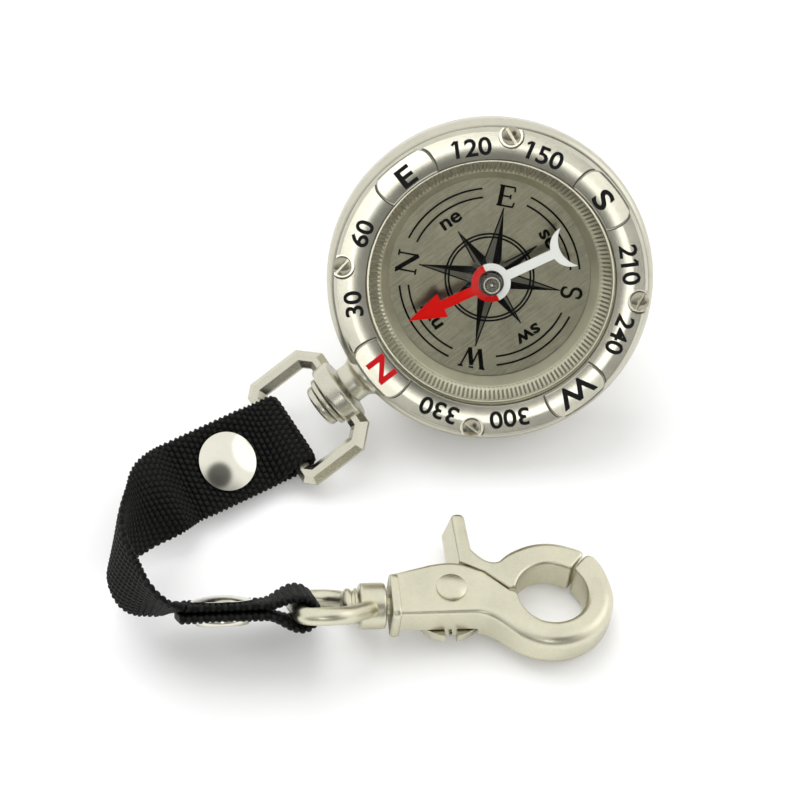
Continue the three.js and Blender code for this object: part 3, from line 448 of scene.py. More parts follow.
@dataclass(frozen=True)
class ClearPlastic:
    """Polished clear plastic that lets the light in."""

    name: str = "clear_lens"
    tint: Colour = (0.975, 0.98, 0.97)
    clear: Colour = (1.0, 1.0, 1.0)
    hazy: Colour = (0.9, 0.91, 0.9)
    gain: float = 0.05
    haze_scale: float = 0.4
    haze_share: float = 0.005
    haze_spread: float = 0.05
    roughness: float = 0.03
    ior: float = 1.46

    def material(self, place: Matrix) -> Material:
        """Builds the plastic.

        Args:
            place: Frame of the sub-assembly.
        Returns:
            The material.
        """
        material, net = new_material(self.name, self.tint)
        haze = net.noise(net.local(place), self.haze_scale, 4.0)
        gloss = {
            "Base Color": net.mix(haze, self.hazy, self.clear),
            "Metallic": 1.0,
            "Roughness": haze * self.haze_spread + self.roughness,
        }
        shine = net.value("BsdfPrincipled", gloss)
        through = net.value("BsdfTransparent", {"Color": (*self.tint, 1.0)})
        facing = net.value("Fresnel", {"IOR": self.ior})
        share = facing * self.gain + haze * self.haze_share
        mixed = net.value("MixShader", {0: share.clamped(), 1: through, 2: shine})
        net.node("OutputMaterial", None, {"Surface": mixed})
        return material


Finish = Metal | Paint | Webbing | ClearPlastic
NICKEL: Colour = (0.70, 0.68, 0.56)
SATIN_NICKEL = Metal("satin_nickel", NICKEL, 0.28, dark=0.90)
TURNED_NICKEL = Metal("turned_nickel", NICKEL, 0.28, Grain.SPUN, 0.16, 0.010, 0.08, 0.88)
CAST_NICKEL = Metal(
    "cast_nickel", (0.83, 0.80, 0.62), 0.32, grain_size=0.22, relief=0.03, uneven=0.12
)
SPUN_NICKEL = Metal("spun_nickel", NICKEL, 0.21, Grain.SPUN, 0.10, 0.004, 0.06)
BRIGHT_NICKEL = Metal(
    "bright_nickel", (0.86, 0.84, 0.72), 0.13, Grain.SPUN, 0.12, 0.002, 0.05, 0.92
)
SCREW_STEEL = Metal("screw_steel", (0.48, 0.455, 0.35), 0.20, relief=0.006, uneven=0.06)
# Painted shade: the dark strips beside the bezel's pads stand for the shade in their grooves
GROOVE_SHADE = Paint("groove", (0.10, 0.097, 0.08), 0.5)
DIAL_METAL = Metal(
    "dial_metal", (0.42, 0.395, 0.29), 0.36, Grain.BRUSHED, 0.13, 0.02, 0.16, 0.5, 0.6
)
RING_METAL = Metal("ring_metal", (0.80, 0.77, 0.60), 0.46, Grain.SPUN, 0.10, 0.006, 0.06)
REED_METAL = Metal("reeded_rim", (0.86, 0.83, 0.67), 0.30, relief=0.004, uneven=0.06)
# Painted shade on every other facet of the reeded rim
REED_SHADE = Paint("reed_shade", (0.21, 0.195, 0.145), 0.4)
DARK_STEEL = Metal("dark_steel", (0.085, 0.08, 0.066), 0.24, Grain.SPUN, 0.08, 0.006, 0.08)
SPRING_STEEL = Metal("spring_steel", (0.50, 0.50, 0.49), 0.30)
BLACK_FILL = Paint("black_fill", (0.008, 0.008, 0.008), 0.5, gloss=0.15)
RED_FILL = Paint("red_fill", (0.66, 0.006, 0.012), 0.45, gloss=0.15)
DIAL_BLACK = Paint("dial_black", (0.002, 0.002, 0.0018), 0.6, gloss=0.05)
DIAL_GREY = Paint("dial_grey", (0.13, 0.125, 0.10), 0.5, gloss=0.1)
NEEDLE_RED = Paint("needle_red", (0.76, 0.005, 0.003), 0.42, gloss=0.06)
NEEDLE_WHITE = Paint("needle_white", (0.93, 0.93, 0.91), 0.45, 0.96)
SEAL_RUBBER = Paint("seal_rubber", (0.02, 0.02, 0.02), 0.75)
JEWEL = Paint("jewel", (0.35, 0.03, 0.06), 0.12)


# Shaping


def clamp(value: float) -> float:
    """A value held between 0 and 1."""
    return max(0.0, min(1.0, value))


def smooth(share: float) -> float:
    """A share from 0 to 1, eased at both ends."""
    t = clamp(share)
    return t * t * (3 - 2 * t)


def xy_of(points: Iterable[Vector]) -> list[Point]:
    """The x and y of points."""
    return [(p.x, p.y) for p in points]


def arc(x: float, y: float, radius: float, start: float, stop: float, steps: int) -> list[Point]:
    """Points on a circle between two angles in degrees."""
    angles = (math.radians(start + (stop - start) * i / steps) for i in range(steps + 1))
    return [(x + radius * math.cos(a), y + radius * math.sin(a)) for a in angles]


def polar(radius: float, degrees: float) -> Vector:
    """The point at a radius and an angle in the XY plane."""
    angle = math.radians(degrees)
    return Vector((radius * math.cos(angle), radius * math.sin(angle), 0.0))


def bowed(first: Vector, corner: Vector, last: Vector, steps: int) -> list[Vector]:
    """Points on a round from one side of a corner to the other."""
    shares = [k / steps for k in range(steps + 1)]
    return [first * (1 - t) ** 2 + corner * (2 * t * (1 - t)) + last * t**2 for t in shares]


def filleted(corners: Sequence[Place], steps: int = 4, closed: bool = False) -> list[Point]:
    """Rounds the corners of an outline.

    Args:
        corners: Points with the radius of the round at each, 0 for a sharp corner.
        steps: Steps in each round.
        closed: True if the last corner joins the first.
    Returns:
        The outline's points.
    """
    points: list[Point] = []
    count = len(corners)
    for i, (x, y, radius) in enumerate(corners):
        here = Vector((x, y))
        if radius <= 0 or (not closed and i in (0, count - 1)):
            points.append((x, y))
            continue
        before = Vector(corners[i - 1][:2]) - here
        after = Vector(corners[(i + 1) % count][:2]) - here
        reach = min(radius, before.length * 0.49, after.length * 0.49)
        first, last = here + before.normalized() * reach, here + after.normalized() * reach
        points += xy_of(bowed(first, here, last, steps))
    return points


def softened(outline: Sequence[Point], corners: Sequence[Place], steps: int = 5) -> list[Point]:
    """Rounds chosen corners of a closed outline, over as many points as the round takes.

    Args:
        outline: The outline's points.
        corners: A point near each corner and the length that its round takes on either side.
        steps: Steps in each round.
    Returns:
        The outline's points.
    """
    points = [Vector(p) for p in outline]
    for x, y, reach in corners:
        count = len(points)
        here = min(range(count), key=lambda i: (points[i] - Vector((x, y))).length)
        ends, gone = [], [0, 0]
        for side, way in enumerate((1, -1)):
            left, i = reach, here
            while (span := (points[(i + way) % count] - points[i]).length) <= left:
                left, i = left - span, (i + way) % count
                gone[side] += 1
            ends.append(points[i].lerp(points[(i + way) % count], left / span))
        first = here + gone[0] + 1
        kept = [points[(first + k) % count] for k in range(count - sum(gone) - 1)]
        points = kept + bowed(ends[1], points[here], ends[0], steps)
    return xy_of(points)


def dome(radius: float, rim: float, top: float, steps: int) -> list[Point]:
    """Profile of a spherical cap from its rim to its top on the axis.

    Args:
        radius: Radius at the rim.
        rim: Height of the rim.
        top: Height of the top.
        steps: Steps in the profile.
    Returns:
        The points.
    """
    rise = top - rim
    sphere = (radius * radius + rise * rise) / (2 * rise)
    span = math.asin(min(1.0, radius / sphere))
    angles = [span * (1 - i / steps) for i in range(steps + 1)]
    return [(sphere * math.sin(a), top - sphere * (1 - math.cos(a))) for a in angles]


def lathe(profile: Sequence[Point], steps: int = 96, closed: bool = False) -> Shape:
    """Turns a profile of (radius, height) points about Z.

    Args:
        profile: The points, from axis to axis unless closed.
        steps: Steps in the turn.
        closed: True if the profile is a ring's section.
    Returns:
        The turned shape.
    """
    bm = bmesh.new()
    verts = [bm.verts.new((r, 0.0, z)) for r, z in profile]
    pairs = list(zip(verts, verts[1:])) + ([(verts[-1], verts[0])] if closed else [])
    edges = [bm.edges.new(pair) for pair in pairs]
    about_z = {"cent": (0, 0, 0), "axis": (0, 0, 1), "angle": FULL_TURN}
    bmesh.ops.spin(bm, geom=[*verts, *edges], steps=steps, use_merge=True, **about_z)
    bmesh.ops.remove_doubles(bm, verts=bm.verts, dist=WELD)
    bmesh.ops.dissolve_degenerate(bm, edges=bm.edges, dist=WELD / 10)
    return outward(bm)


def outward(bm: Shape) -> Shape:
    """Turns the faces of a shape outwards and gives it back."""
    bmesh.ops.recalc_face_normals(bm, faces=bm.faces)
    return bm


def thickened(bm: Shape, rise: float) -> set[Vert]:
    """Extrudes every face of a flat shape upwards.

    Args:
        bm: The shape.
        rise: Its new thickness.
    Returns:
        The lifted points.
    """
    grown = bmesh.ops.extrude_face_region(bm, geom=bm.faces[:])["geom"]
    lifted = {g for g in grown if isinstance(g, Vert)}
    bmesh.ops.translate(bm, verts=list(lifted), vec=(0, 0, rise))
    return lifted


def bevelled(bm: Shape, rims: Sequence[Edge], width: float, segments: int) -> Shape:
    """Rounds edges of a shape.

    Args:
        bm: The shape.
        rims: The edges.
        width: Width of the rounding.
        segments: Steps in it.
    Returns:
        The shape.
    """
    kind = {"offset_type": "OFFSET", "affect": "EDGES", "profile": 0.5, "material": -1}
    bmesh.ops.bevel(bm, geom=rims, offset=width, segments=segments, **kind)
    return bm


def block(size: Place, at: Place) -> Shape:
    """A box.

    Args:
        size: Its size along each axis.
        at: Its middle.
    Returns:
        The box.
    """
    bm = bmesh.new()
    bmesh.ops.create_cube(bm, size=1.0)
    bmesh.ops.scale(bm, verts=bm.verts, vec=size)
    bmesh.ops.translate(bm, verts=bm.verts, vec=at)
    return bm


def plate(
    outline: Sequence[Point],
    low: float,
    high: float,
    bevel: float = 0.0,
    segments: int = 3,
    hole: Sequence[Point] | None = None,
) -> Shape:
    """A plate with rounded edges.

    Args:
        outline: Its outline in the XY plane.
        low: Height of its underside.
        high: Height of its top.
        bevel: Width of the rounding of its edges.
        segments: Steps in that rounding.
        hole: Outline of an opening with as many points as the outline.
    Returns:
        The plate.
    """
    bm = bmesh.new()
    edges = []
    for points in (outline, hole or ()):
        verts = [bm.verts.new((x, y, low)) for x, y in points]
        edges += [bm.edges.new(pair) for pair in zip(verts, verts[1:] + verts[:1])]
    if hole is None:
        bm.faces.new(bm.verts)
    else:
        bmesh.ops.bridge_loops(bm, edges=edges)
    thickened(bm, high - low)
    outward(bm)
    return bevelled(bm, [e for e in bm.edges if is_rim(e)], bevel, segments) if bevel else bm


def is_rim(edge: Edge) -> bool:
    """True for an edge between a wall and a flat face of a plate."""
    flat = [abs(f.normal.z) > FLAT for f in edge.link_faces]
    return len(flat) == 2 and flat[0] != flat[1]


def mesh_from(bm: Shape, name: str) -> bpy.types.Mesh:
    """Ends a bmesh in a mesh.

    Args:
        bm: The bmesh, which is used up.
        name: The mesh's name.
    Returns:
        The mesh.
    """
    mesh = bpy.data.meshes.new(name)
    bm.to_mesh(mesh)
    bm.free()
    return mesh


def linked(name: str, data: bpy.types.ID) -> Thing:
    """A new object in the scene.

    Args:
        name: Its name.
        data: Its mesh, curve, light or camera.
    Returns:
        The object.
    """
    made = bpy.data.objects.new(name, data)
    bpy.context.scene.collection.objects.link(made)
    return made


def evaluated(holder: Thing) -> Shape:
    """The final shape of an object, with near points joined.

    Args:
        holder: The object.
    Returns:
        The shape.
    """
    bpy.context.view_layer.update()
    final = holder.evaluated_get(bpy.context.evaluated_depsgraph_get())
    mesh = bpy.data.meshes.new_from_object(final)
    bm = bmesh.new()
    bm.from_mesh(mesh)
    bpy.data.meshes.remove(mesh)
    bmesh.ops.remove_doubles(bm, verts=bm.verts, dist=WELD)
    return bm


def carved(bm: Shape, cutters: Iterable[Shape]) -> Shape:
    """Cuts closed shapes out of a shape, which are all used up.

    Args:
        bm: The shape.
        cutters: The closed shapes.
    Returns:
        What is left.
    """
    tools = [linked("tool", mesh_from(c, "tool")) for c in cutters]
    base = linked("base", mesh_from(bm, "base"))
    for tool in tools:
        cut = base.modifiers.new("cut", "BOOLEAN")
        cut.operation, cut.solver, cut.object = "DIFFERENCE", "EXACT", tool
    result = evaluated(base)
    for used in (base, *tools):
        bpy.data.meshes.remove(used.data)
    bmesh.ops.dissolve_degenerate(result, edges=result.edges, dist=WELD)
    return result


def rounded(bm: Shape, widths: Callable[[Vector], float], segments: int) -> Shape:
    """Rounds the rims of a plate by a width that changes along them.

    Args:
        bm: The plate, which is rounded in place.
        widths: Width of the rounding at a point of a rim.
        segments: Steps in the rounding.
    Returns:
        The plate.
    """
    hair = 0.01
    for flat in [f for f in bm.faces if abs(f.normal.z) > FLAT]:
        up = Vector((0, 0, math.copysign(1.0, flat.normal.z)))
        starts = [v.co.copy() for v in flat.verts]
        rings, ways = [], []
        for _ in range(segments):
            bmesh.ops.inset_region(bm, faces=[flat], thickness=hair, use_even_offset=True)
            inner = set(flat.verts)
            beside = [[e.other_vert(v) for e in v.link_edges] for v in flat.verts]
            rings.append([next(v for v in near if v not in inner) for near in beside])
            ways = ways or [(v.co - start) / hair for v, start in zip(flat.verts, starts)]
        for k, ring in enumerate([*rings, list(flat.verts)]):
            angle = math.pi / 2 * k / segments
            for vert, start, way in zip(ring, starts, ways):
                width = widths(start)
                vert.co = start + way * (width * (1 - math.cos(angle)))
                vert.co -= up * (width * (1 - math.sin(angle)))
    return outward(bm)


def merged(parts: Iterable[Shape]) -> Shape:
    """Puts several shapes into one.

    Args:
        parts: The shapes, which are used up.
    Returns:
        The whole.
    """
    whole = bmesh.new()
    for part in parts:
        whole.from_mesh(mesh_from(part, "part"))
    return whole


def turned(bm: Shape, matrix: Matrix) -> Shape:
    """Moves a shape by a matrix and gives it back."""
    bm.transform(matrix)
    return bm


def lettered(text: str, height: float, depth: float, bold: float, wide: float) -> Shape:
    """Flat letters about the origin, upright along +Y.

    Args:
        text: The letters.
        height: Height of a capital.
        depth: Their thickness.
        bold: How much their strokes are widened.
        wide: How much the letters are stretched across.
    Returns:
        The letters.
    """
    curve = bpy.data.curves.new("letters", "FONT")
    curve.body = text
    curve.align_x = "CENTER"
    curve.size = height / CAPITAL_SHARE
    curve.offset = bold
    curve.extrude = depth / 2
    curve.resolution_u = 5
    bm = evaluated(linked("letters", curve))
    bpy.data.curves.remove(curve)
    spans = [[v.co[i] for v in bm.verts] for i in (0, 1)]
    shift = [-(min(span) + max(span)) / 2 for span in spans]
    bmesh.ops.translate(bm, verts=bm.verts, vec=(*shift, depth / 2))
    bmesh.ops.scale(bm, verts=bm.verts, vec=(wide, 1.0, 1.0))
    return bm


def strokes(lines: Iterable[tuple[Sequence[Point], float]], depth: float) -> Shape:
    """Flat strokes along lines of points.

    Args:
        lines: The points and the width of each.
        depth: Their thickness.
    Returns:
        The strokes.
    """
    bm = bmesh.new()
    for line, width in lines:
        spots = [Vector((x, y, 0.0)) for x, y in line]
        left, right = [], []
        for i, spot in enumerate(spots):
            way = (spots[min(i + 1, len(spots) - 1)] - spots[max(i - 1, 0)]).normalized()
            side = Vector((-way.y, way.x, 0.0)) * width / 2
            left.append(bm.verts.new(spot + side))
            right.append(bm.verts.new(spot - side))
        for i in range(len(spots) - 1):
            bm.faces.new((right[i], right[i + 1], left[i + 1], left[i]))
    thickened(bm, depth)
    return outward(bm)


@dataclass
class Shop:
    """Ends shapes in pieces that ride on the keychain's bodies."""

    finishes: dict[tuple[str, str], Material] = field(default_factory=dict)

    def finish(self, finish: Finish, place: Matrix, group: str) -> Material:
        """Makes a finish, once in each frame.

        Args:
            finish: The finish.
            place: The frame.
            group: The frame's name.
        Returns:
            The material.
        """
        key = (finish.name, group)
        if key not in self.finishes:
            made = finish.material(place)
            made.name = f"{finish.name}_{group}"
            self.finishes[key] = made
        return self.finishes[key]

    def piece(
        self,
        name: str,
        bm: Shape,
        place: Matrix,
        materials: Sequence[Material],
        body: Body | None,
        slot: str,
        replaces: Sequence[str] = (),
        sharp: float = SHARP,
    ) -> Thing:
        """Makes one piece.

        Args:
            name: The piece's name.
            bm: Its shape in millimetres, in its sub-assembly's frame.
            place: That frame.
            materials: Its materials.
            body: The body that it rides on, or None.
            slot: Not used.
            replaces: The solids that it stands for.
            sharp: Angle in degrees past which an edge is sharp.
        Returns:
            The object.
        """
        bm.transform(place @ Matrix.Scale(MM, 4))
        mesh = mesh_from(bm, name)
        mesh.shade_smooth()
        mesh.set_sharp_from_angle(angle=math.radians(sharp))
        for material in materials:
            mesh.materials.append(material)
        made = linked(name, mesh)
        weighted = made.modifiers.new("flat_faces", "WEIGHTED_NORMAL")
        weighted.keep_sharp = True
        if body is not None:
            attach(made, body.value)
        if replaces:
            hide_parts(*replaces)
        log.info("%s: %d faces", name, len(mesh.polygons))
        return made


# Sub-assemblies


@dataclass
class Assembly:
    """Pieces that are made in one frame and, but for a few, ride on one body."""

    place: Matrix
    shop: Shop
    nodes: dict[str, Thing]
    body: Body = field(init=False)
    group: str = field(init=False)

    def paint(self, finish: Finish) -> Material:
        """A finish in the sub-assembly's frame."""
        return self.shop.finish(finish, self.place, self.group)

    def add(
        self,
        name: str,
        bm: Shape,
        finishes: Sequence[Finish],
        slot: str,
        *replaces: str,
        sharp: float = SHARP,
    ) -> None:
        """Makes a piece that rides on the sub-assembly's body."""
        paints = [self.paint(finish) for finish in finishes]
        self.shop.piece(name, bm, self.place, paints, self.body, slot, replaces, sharp)

    def dress(self, node: str, finish: Finish) -> None:
        """Gives a solid that shows as it is its finish.

        Args:
            node: The solid's name.
            finish: The finish.
        """
        self.nodes[node].data.materials.clear()
        self.nodes[node].data.materials.append(self.paint(finish))
        log.info("%s dressed", node)


@dataclass
class Compass(Assembly):
    """The case with its bezel, clear capsule, dial and swivel pin."""

    body: Body = field(default=Body.COMPASS, init=False)
    group: str = field(default="compass", init=False)
    case_radius: float = 27.2
    case_depth: float = 16.0
    back_radius: float = 24.9
    back_bevel: float = 1.2
    flange_bevel: float = 0.9
    flange_top: float = -2.3
    flange_foot: float = -6.2
    pocket_radius: float = 22.4
    pocket_floor: float = -4.9
    bore_radius: float = 20.6
    dial_seat: float = -7.1
    ledge_radius: float = 19.0
    floor_height: float = -14.2
    bezel_radius: float = 26.05
    bezel_foot: float = -2.0
    bezel_lip: float = 0.3
    crown_from: float = 23.8
    crown_bend: float = 0.036
    pad_radius: float = 5.3
    pad_height: float = 0.42
    pad_root: float = 0.7
    pad_bevel: float = 0.14
    pad_taper: float = 0.75
    pad_shoulder: float = 2.06
    pad_round: Point = (1.5, 2.0)
    groove_ends: Point = (0.35, 0.6)
    groove_gap: float = 0.1
    groove_width: float = 0.26
    groove_depth: float = 0.02
    notch: tuple[Point, ...] = ((0, -1.0), (2.0, -1.0), (2.1, -0.9), (2.1, 1.0), (0, 1.0))
    screw_circle: float = 24.85
    screw_seat: float = -0.7
    screw_radius: float = 1.55
    slot_size: Place = (4.0, 0.5, 1.0)
    slot_lift: float = 0.72
    slot_angles: tuple[float, ...] = (-76, 24, -96, 9)
    label_radius: float = 23.05
    label_depth: float = 0.05
    number_height: float = 3.0
    number_bold: float = 0.08
    number_wide: float = 1.12
    point_height: float = 3.4
    point_bold: float = 0.12
    point_wide: float = 1.32
    north_bold: float = 0.14
    lens_radius: float = 20.3
    lens_rise: float = 2.6
    lens_edge: float = -0.6
    lens_wall: float = 1.2
    lens_foot: float = -3.6
    skirt_bore: float = 18.7
    reeds: int = 164
    reed_depth: float = 0.22
    reed_span: tuple[float, ...] = (0.0, 0.2, 0.86, 1.0)
    dial_radius: float = 20.3
    dial_top: float = -5.8
    dial_thickness: float = 1.0
    ring_foot: float = -5.5
    ring_top: float = -3.9
    stem_radius: float = 3.25
    stem_from: float = 25.2
    stem_end: float = 30.2
    collar: float = 0.9
    collar_end: float = 26.9
    taper_end: float = 27.9
    # Turned profiles, as radius, place along the swivel axis and rounding
    washer: tuple[Place, ...] = (
        (1.7, 33.9, 0.1),
        (4.4, 33.9, 0.25),
        (4.4, 34.7, 0.25),
        (1.7, 34.7, 0.1),
    )
    pin: tuple[Place, ...] = (
        (0.0, 29.0, 0),
        (1.6, 29.0, 0),
        (1.6, 35.0, 0),
        (3.7, 35.0, 0.2),
        (3.7, 35.9, 0.4),
        (3.2, 36.3, 0.4),
        (0.0, 36.3, 0),
    )

    def build(self) -> None:
        """Builds every piece of the compass."""
        self.build_case()
        self.build_bezel()
        self.build_screws()
        self.build_labels()
        self.build_capsule()
        self.build_dial()
        self.build_swivel_pin()
        self.dress("capsule_seal", SEAL_RUBBER)
        self.dress("pivot_pin", DARK_STEEL)

    def build_case(self) -> None:
        """The turned case with its neck."""
        bevel, wide = self.flange_bevel, self.stem_radius + self.collar
        profile = [
            (0.0, -self.case_depth, 0),
            (self.back_radius - self.back_bevel, -self.case_depth, 0.6),
            (self.back_radius, -self.case_depth + self.back_bevel, 0.6),
            (self.case_radius - bevel, self.flange_foot - bevel, 0.4),
            (self.case_radius, self.flange_foot, 0.7),
            (self.case_radius, self.flange_top - bevel, 1.3),
            (self.case_radius - bevel, self.flange_top, 0.6),
            (self.pocket_radius, self.flange_top, 0.15),
            (self.pocket_radius, self.pocket_floor, 0),
            (self.bore_radius, self.pocket_floor, 0),
            (self.bore_radius, self.dial_seat, 0),
            (self.ledge_radius, self.dial_seat, 0),
            (self.ledge_radius, self.floor_height, 0.3),
            (0.0, self.floor_height, 0),
        ]
        shell = lathe(filleted(profile), 144)
        self.add("case_shell", shell, [TURNED_NICKEL], "case_metal", "case_body")
        neck = [
            (0.0, self.stem_from, 0),
            (wide, self.stem_from, 0),
            (wide, self.collar_end, 0.3),
            (self.stem_radius, self.taper_end, 0.8),
            (self.stem_radius, self.stem_end, 0.35),
            (0.0, self.stem_end, 0),
        ]
        self.add("case_neck", self.along_stem(filleted(neck)), [SATIN_NICKEL], "case_metal")

    def along_stem(self, profile: Sequence[Point], closed: bool = False) -> Shape:
        """Turns a profile about the swivel axis."""
        return turned(lathe(profile, 64, closed), Matrix.Translation((0, 0, -NECK_DROP)) @ Z_TO_X)

    def at_screw(self, bm: Shape, angle: float) -> Shape:
        """Sets a shape made about Z where a screw stands."""
        return turned(bm, Matrix.Translation(polar(self.screw_circle, angle)))

    def crown(self, radius: float) -> float:
        """Height of the bezel's face, which falls away towards the clear dome."""
        return -self.crown_bend * max(0.0, self.crown_from - radius) ** 2

    def build_bezel(self) -> None:
        """The lettered ring with its four raised pads."""
        outer, inner = self.bezel_radius, self.bore_radius
        fall = self.crown_from - inner - self.bezel_lip
        face = [self.crown_from - fall * i / 8 for i in range(9)]
        rim = [
            (outer - 0.2, self.bezel_foot, 0),
            (outer, -1.6, 0.2),
            (outer, -0.75, 0.5),
            (outer - 0.55, -0.06, 0.5),
        ]
        profile = [
            (inner, self.bezel_foot),
            *filleted(rim),
            *[(r, self.crown(r)) for r in face],
            (inner + 0.06, self.crown(inner) - 0.2),
            (inner, self.crown(inner) - 0.4),
        ]
        ring = lathe(profile, 160, closed=True)
        notches = [self.at_screw(lathe(self.notch, 40), angle) for angle in DIAGONALS]
        ring = carved(ring, notches)
        self.add("bezel_ring", ring, [SPUN_NICKEL], "bezel_metal", "bezel", sharp=32)
        pads = merged(self.pad(angle) for angle in QUARTERS)
        self.add("bezel_pads", pads, [SPUN_NICKEL], "bezel_metal", sharp=32)
        # Painted shade: dark strips beside the pads for the shade in their grooves
        groove_shades = merged(self.groove(angle, side) for angle in QUARTERS for side in (-1, 1))
        self.add("pad_grooves", groove_shades, [GROOVE_SHADE], "bezel_metal")

    def pad_half(self, radius: float) -> float:
        """Half the width of a pad, whose ends are bowed and rounded off at the outer edge.

        Args:
            radius: Distance from the bezel's middle.
        Returns:
            Half the width there.
        """
        low, middle = self.bore_radius + self.bezel_lip, self.bezel_radius - self.pad_shoulder
        if radius < middle:
            return self.pad_radius - self.pad_taper * ((middle - radius) / (middle - low)) ** 2
        deep, run = self.pad_round
        return self.pad_radius - deep * ((radius - middle) / run) ** 3

    def crowned(self, bm: Shape) -> Shape:
        """Lays a flat shape on the bezel's face.

        Args:
            bm: The shape.
        Returns:
            The shape.
        """
        for vert in bm.verts:
            vert.co.z += self.crown(vert.co.xy.length)
        return bm

    def groove(self, angle: float, side: int) -> Shape:
        """A thin dark strip along one end of a pad, painted shade standing for an engraved groove.

        Args:
            angle: The pad's place in degrees.
            side: 1 or -1 for either end.
        Returns:
            The line.
        """
        low, high = self.bore_radius + self.groove_ends[0], self.bezel_radius - self.groove_ends[1]
        line = []
        for i in range(17):
            radius = low + (high - low) * i / 16
            away = side * math.degrees((self.pad_half(radius) + self.groove_gap) / radius)
            line.append(polar(radius, angle + away))
        return self.crowned(strokes([(xy_of(line), self.groove_width)], self.groove_depth))

    def pad(self, angle: float) -> Shape:
        """One raised pad that follows the bezel's face.

        Args:
            angle: Its place in degrees.
        Returns:
            The pad.
        """
        low, high = self.bore_radius + self.bezel_lip, self.bezel_radius - 0.06
        bm = bmesh.new()
        bmesh.ops.create_grid(bm, x_segments=28, y_segments=12, size=0.5)
        for vert in bm.verts:
            radius = low + (high - low) * (vert.co.y + 0.5)
            away = math.degrees(2 * vert.co.x * self.pad_half(radius) / radius)
            vert.co = polar(radius, angle - away) + Vector((0, 0, self.crown(radius)))
        tops = thickened(bm, self.pad_height)
        roots = [v for v in bm.verts if v not in tops]
        bmesh.ops.translate(bm, verts=roots, vec=(0, 0, -self.pad_root))
        outward(bm)
        rims = [e for e in bm.edges if is_rim(e) and all(v in tops for v in e.verts)]
        return bevelled(bm, rims, self.pad_bevel, 2)

    def build_screws(self) -> None:
        """The four slotted screws that hold the bezel."""
        seat, radius = self.screw_seat, self.screw_radius
        profile = [
            (0.0, seat - 0.2),
            (radius - 0.15, seat - 0.2),
            (radius, seat),
            *dome(radius, seat + 0.36, seat + 0.85, 8),
        ]
        for i, (angle, slot_angle) in enumerate(zip(DIAGONALS, self.slot_angles), 1):
            slot = block(self.slot_size, (0, 0, seat + self.slot_lift))
            turned(slot, Matrix.Rotation(math.radians(slot_angle), 4, "Z"))
            head = self.at_screw(carved(lathe(profile, 48), [slot]), angle)
            node = f"bezel_screw_{i}"
            self.add(f"screw_head_{i}", head, [SCREW_STEEL], "screw_steel", node, sharp=32)

    def label(self, text: str, degrees: float, bold: float, on_pad: bool) -> Shape:
        """Letters on the bezel.

        Args:
            text: The letters.
            degrees: Their place, clockwise from the bezel's north.
            bold: How much their strokes are widened.
            on_pad: True for a letter on a raised pad.
        Returns:
            The letters.
        """
        height = self.point_height if on_pad else self.number_height
        lift = self.pad_height if on_pad else 0.0
        wide = self.point_wide if on_pad else self.number_wide
        bm = lettered(text, height, self.label_depth, bold, wide)
        if "1" in text:
            near = [v.co.x for v in bm.verts if text[0] == "1" or abs(v.co.x) < height / 5]
            stem, head = min(near) + 0.1, height / 2 - 0.1
            flag = [(stem, head), (stem - height / 5, head - height / 5)]
            bm = merged([bm, strokes([(flag, 0.42)], self.label_depth)])
        for step in range(-4, 5):
            cut = [*bm.verts, *bm.edges, *bm.faces]
            across = (0, step * height / 9, 0)
            bmesh.ops.bisect_plane(bm, geom=cut, plane_co=across, plane_no=(0, 1, 0))
        spot = polar(self.label_radius, -degrees) + Vector((0, 0, lift))
        facing = Matrix.Rotation(math.radians(-degrees - 90), 4, "Z")
        return self.crowned(turned(bm, Matrix.Translation(spot) @ facing))

    def build_labels(self) -> None:
        """The degrees and the four points of the bezel, filled in black and red."""
        degrees = [d for d in range(30, 360, 30) if d % 90]
        numbers = [self.label(str(d), d, self.number_bold, False) for d in degrees]
        points = [self.label(t, d, self.point_bold, True) for t, d in zip("ESW", QUARTERS[1:])]
        self.add("bezel_numbers", merged(numbers + points), [BLACK_FILL], "bezel_metal")
        north = self.label("N", 0, self.north_bold, True)
        self.add("bezel_north", north, [RED_FILL], "bezel_metal")

    def build_capsule(self) -> None:
        """The clear dome, the reeded rim under it and the sloping ring round the dial."""
        under = self.lens_edge - self.lens_wall
        outer = dome(self.lens_radius, self.lens_edge, self.lens_rise, 20)
        inner = dome(self.skirt_bore, under, self.lens_rise - self.lens_wall, 16)
        shell = lathe([*reversed(inner), (self.lens_radius - 0.25, under), *outer], 128)
        self.add("clear_dome", shell, [ClearPlastic()], "clear_lens", "capsule_lens", sharp=50)
        top, foot, lip = under - 0.05, self.lens_foot, self.skirt_bore - 0.4
        wide, steps = self.lens_radius - 0.05, 2 * self.reeds
        slope = [(lip + (wide - lip) * t, foot + (top - foot) * t) for t in self.reed_span]
        outer_edge = self.bore_radius - 0.05
        rim = lathe([(outer_edge, foot), *slope, (outer_edge, top)], steps, closed=True)
        for vert in rim.verts:
            line = round(math.atan2(vert.co.y, vert.co.x) / FULL_TURN * steps)
            if line % 2 and vert.co.xy.length < wide - 0.01:
                vert.co.xy *= 1 + self.reed_depth / wide
        low, high = slope[1][0] + self.reed_depth, slope[2][0]
        # Every other facet of the reeds' slope takes the dark paint: painted shade
        for face in rim.faces:
            spot = face.calc_center_median()
            strip = math.floor(math.atan2(spot.y, spot.x) / FULL_TURN * steps)
            sloping = low < spot.xy.length < high and spot.z > foot + 0.1
            face.material_index = int(strip % 2 == 1 and sloping)
        self.add("reeded_rim", rim, [REED_METAL, REED_SHADE], "clear_lens", sharp=20)
        ring = [
            (lip - 1.4, self.ring_foot, 0),
            (self.dial_radius, self.ring_foot, 0),
            (self.dial_radius, self.ring_top, 0),
            (lip, self.ring_top, 0.2),
        ]
        shape = lathe(filleted(ring, closed=True), 128, closed=True)
        self.add("sloping_ring", shape, [RING_METAL], "ring_metal", "dial_ring")

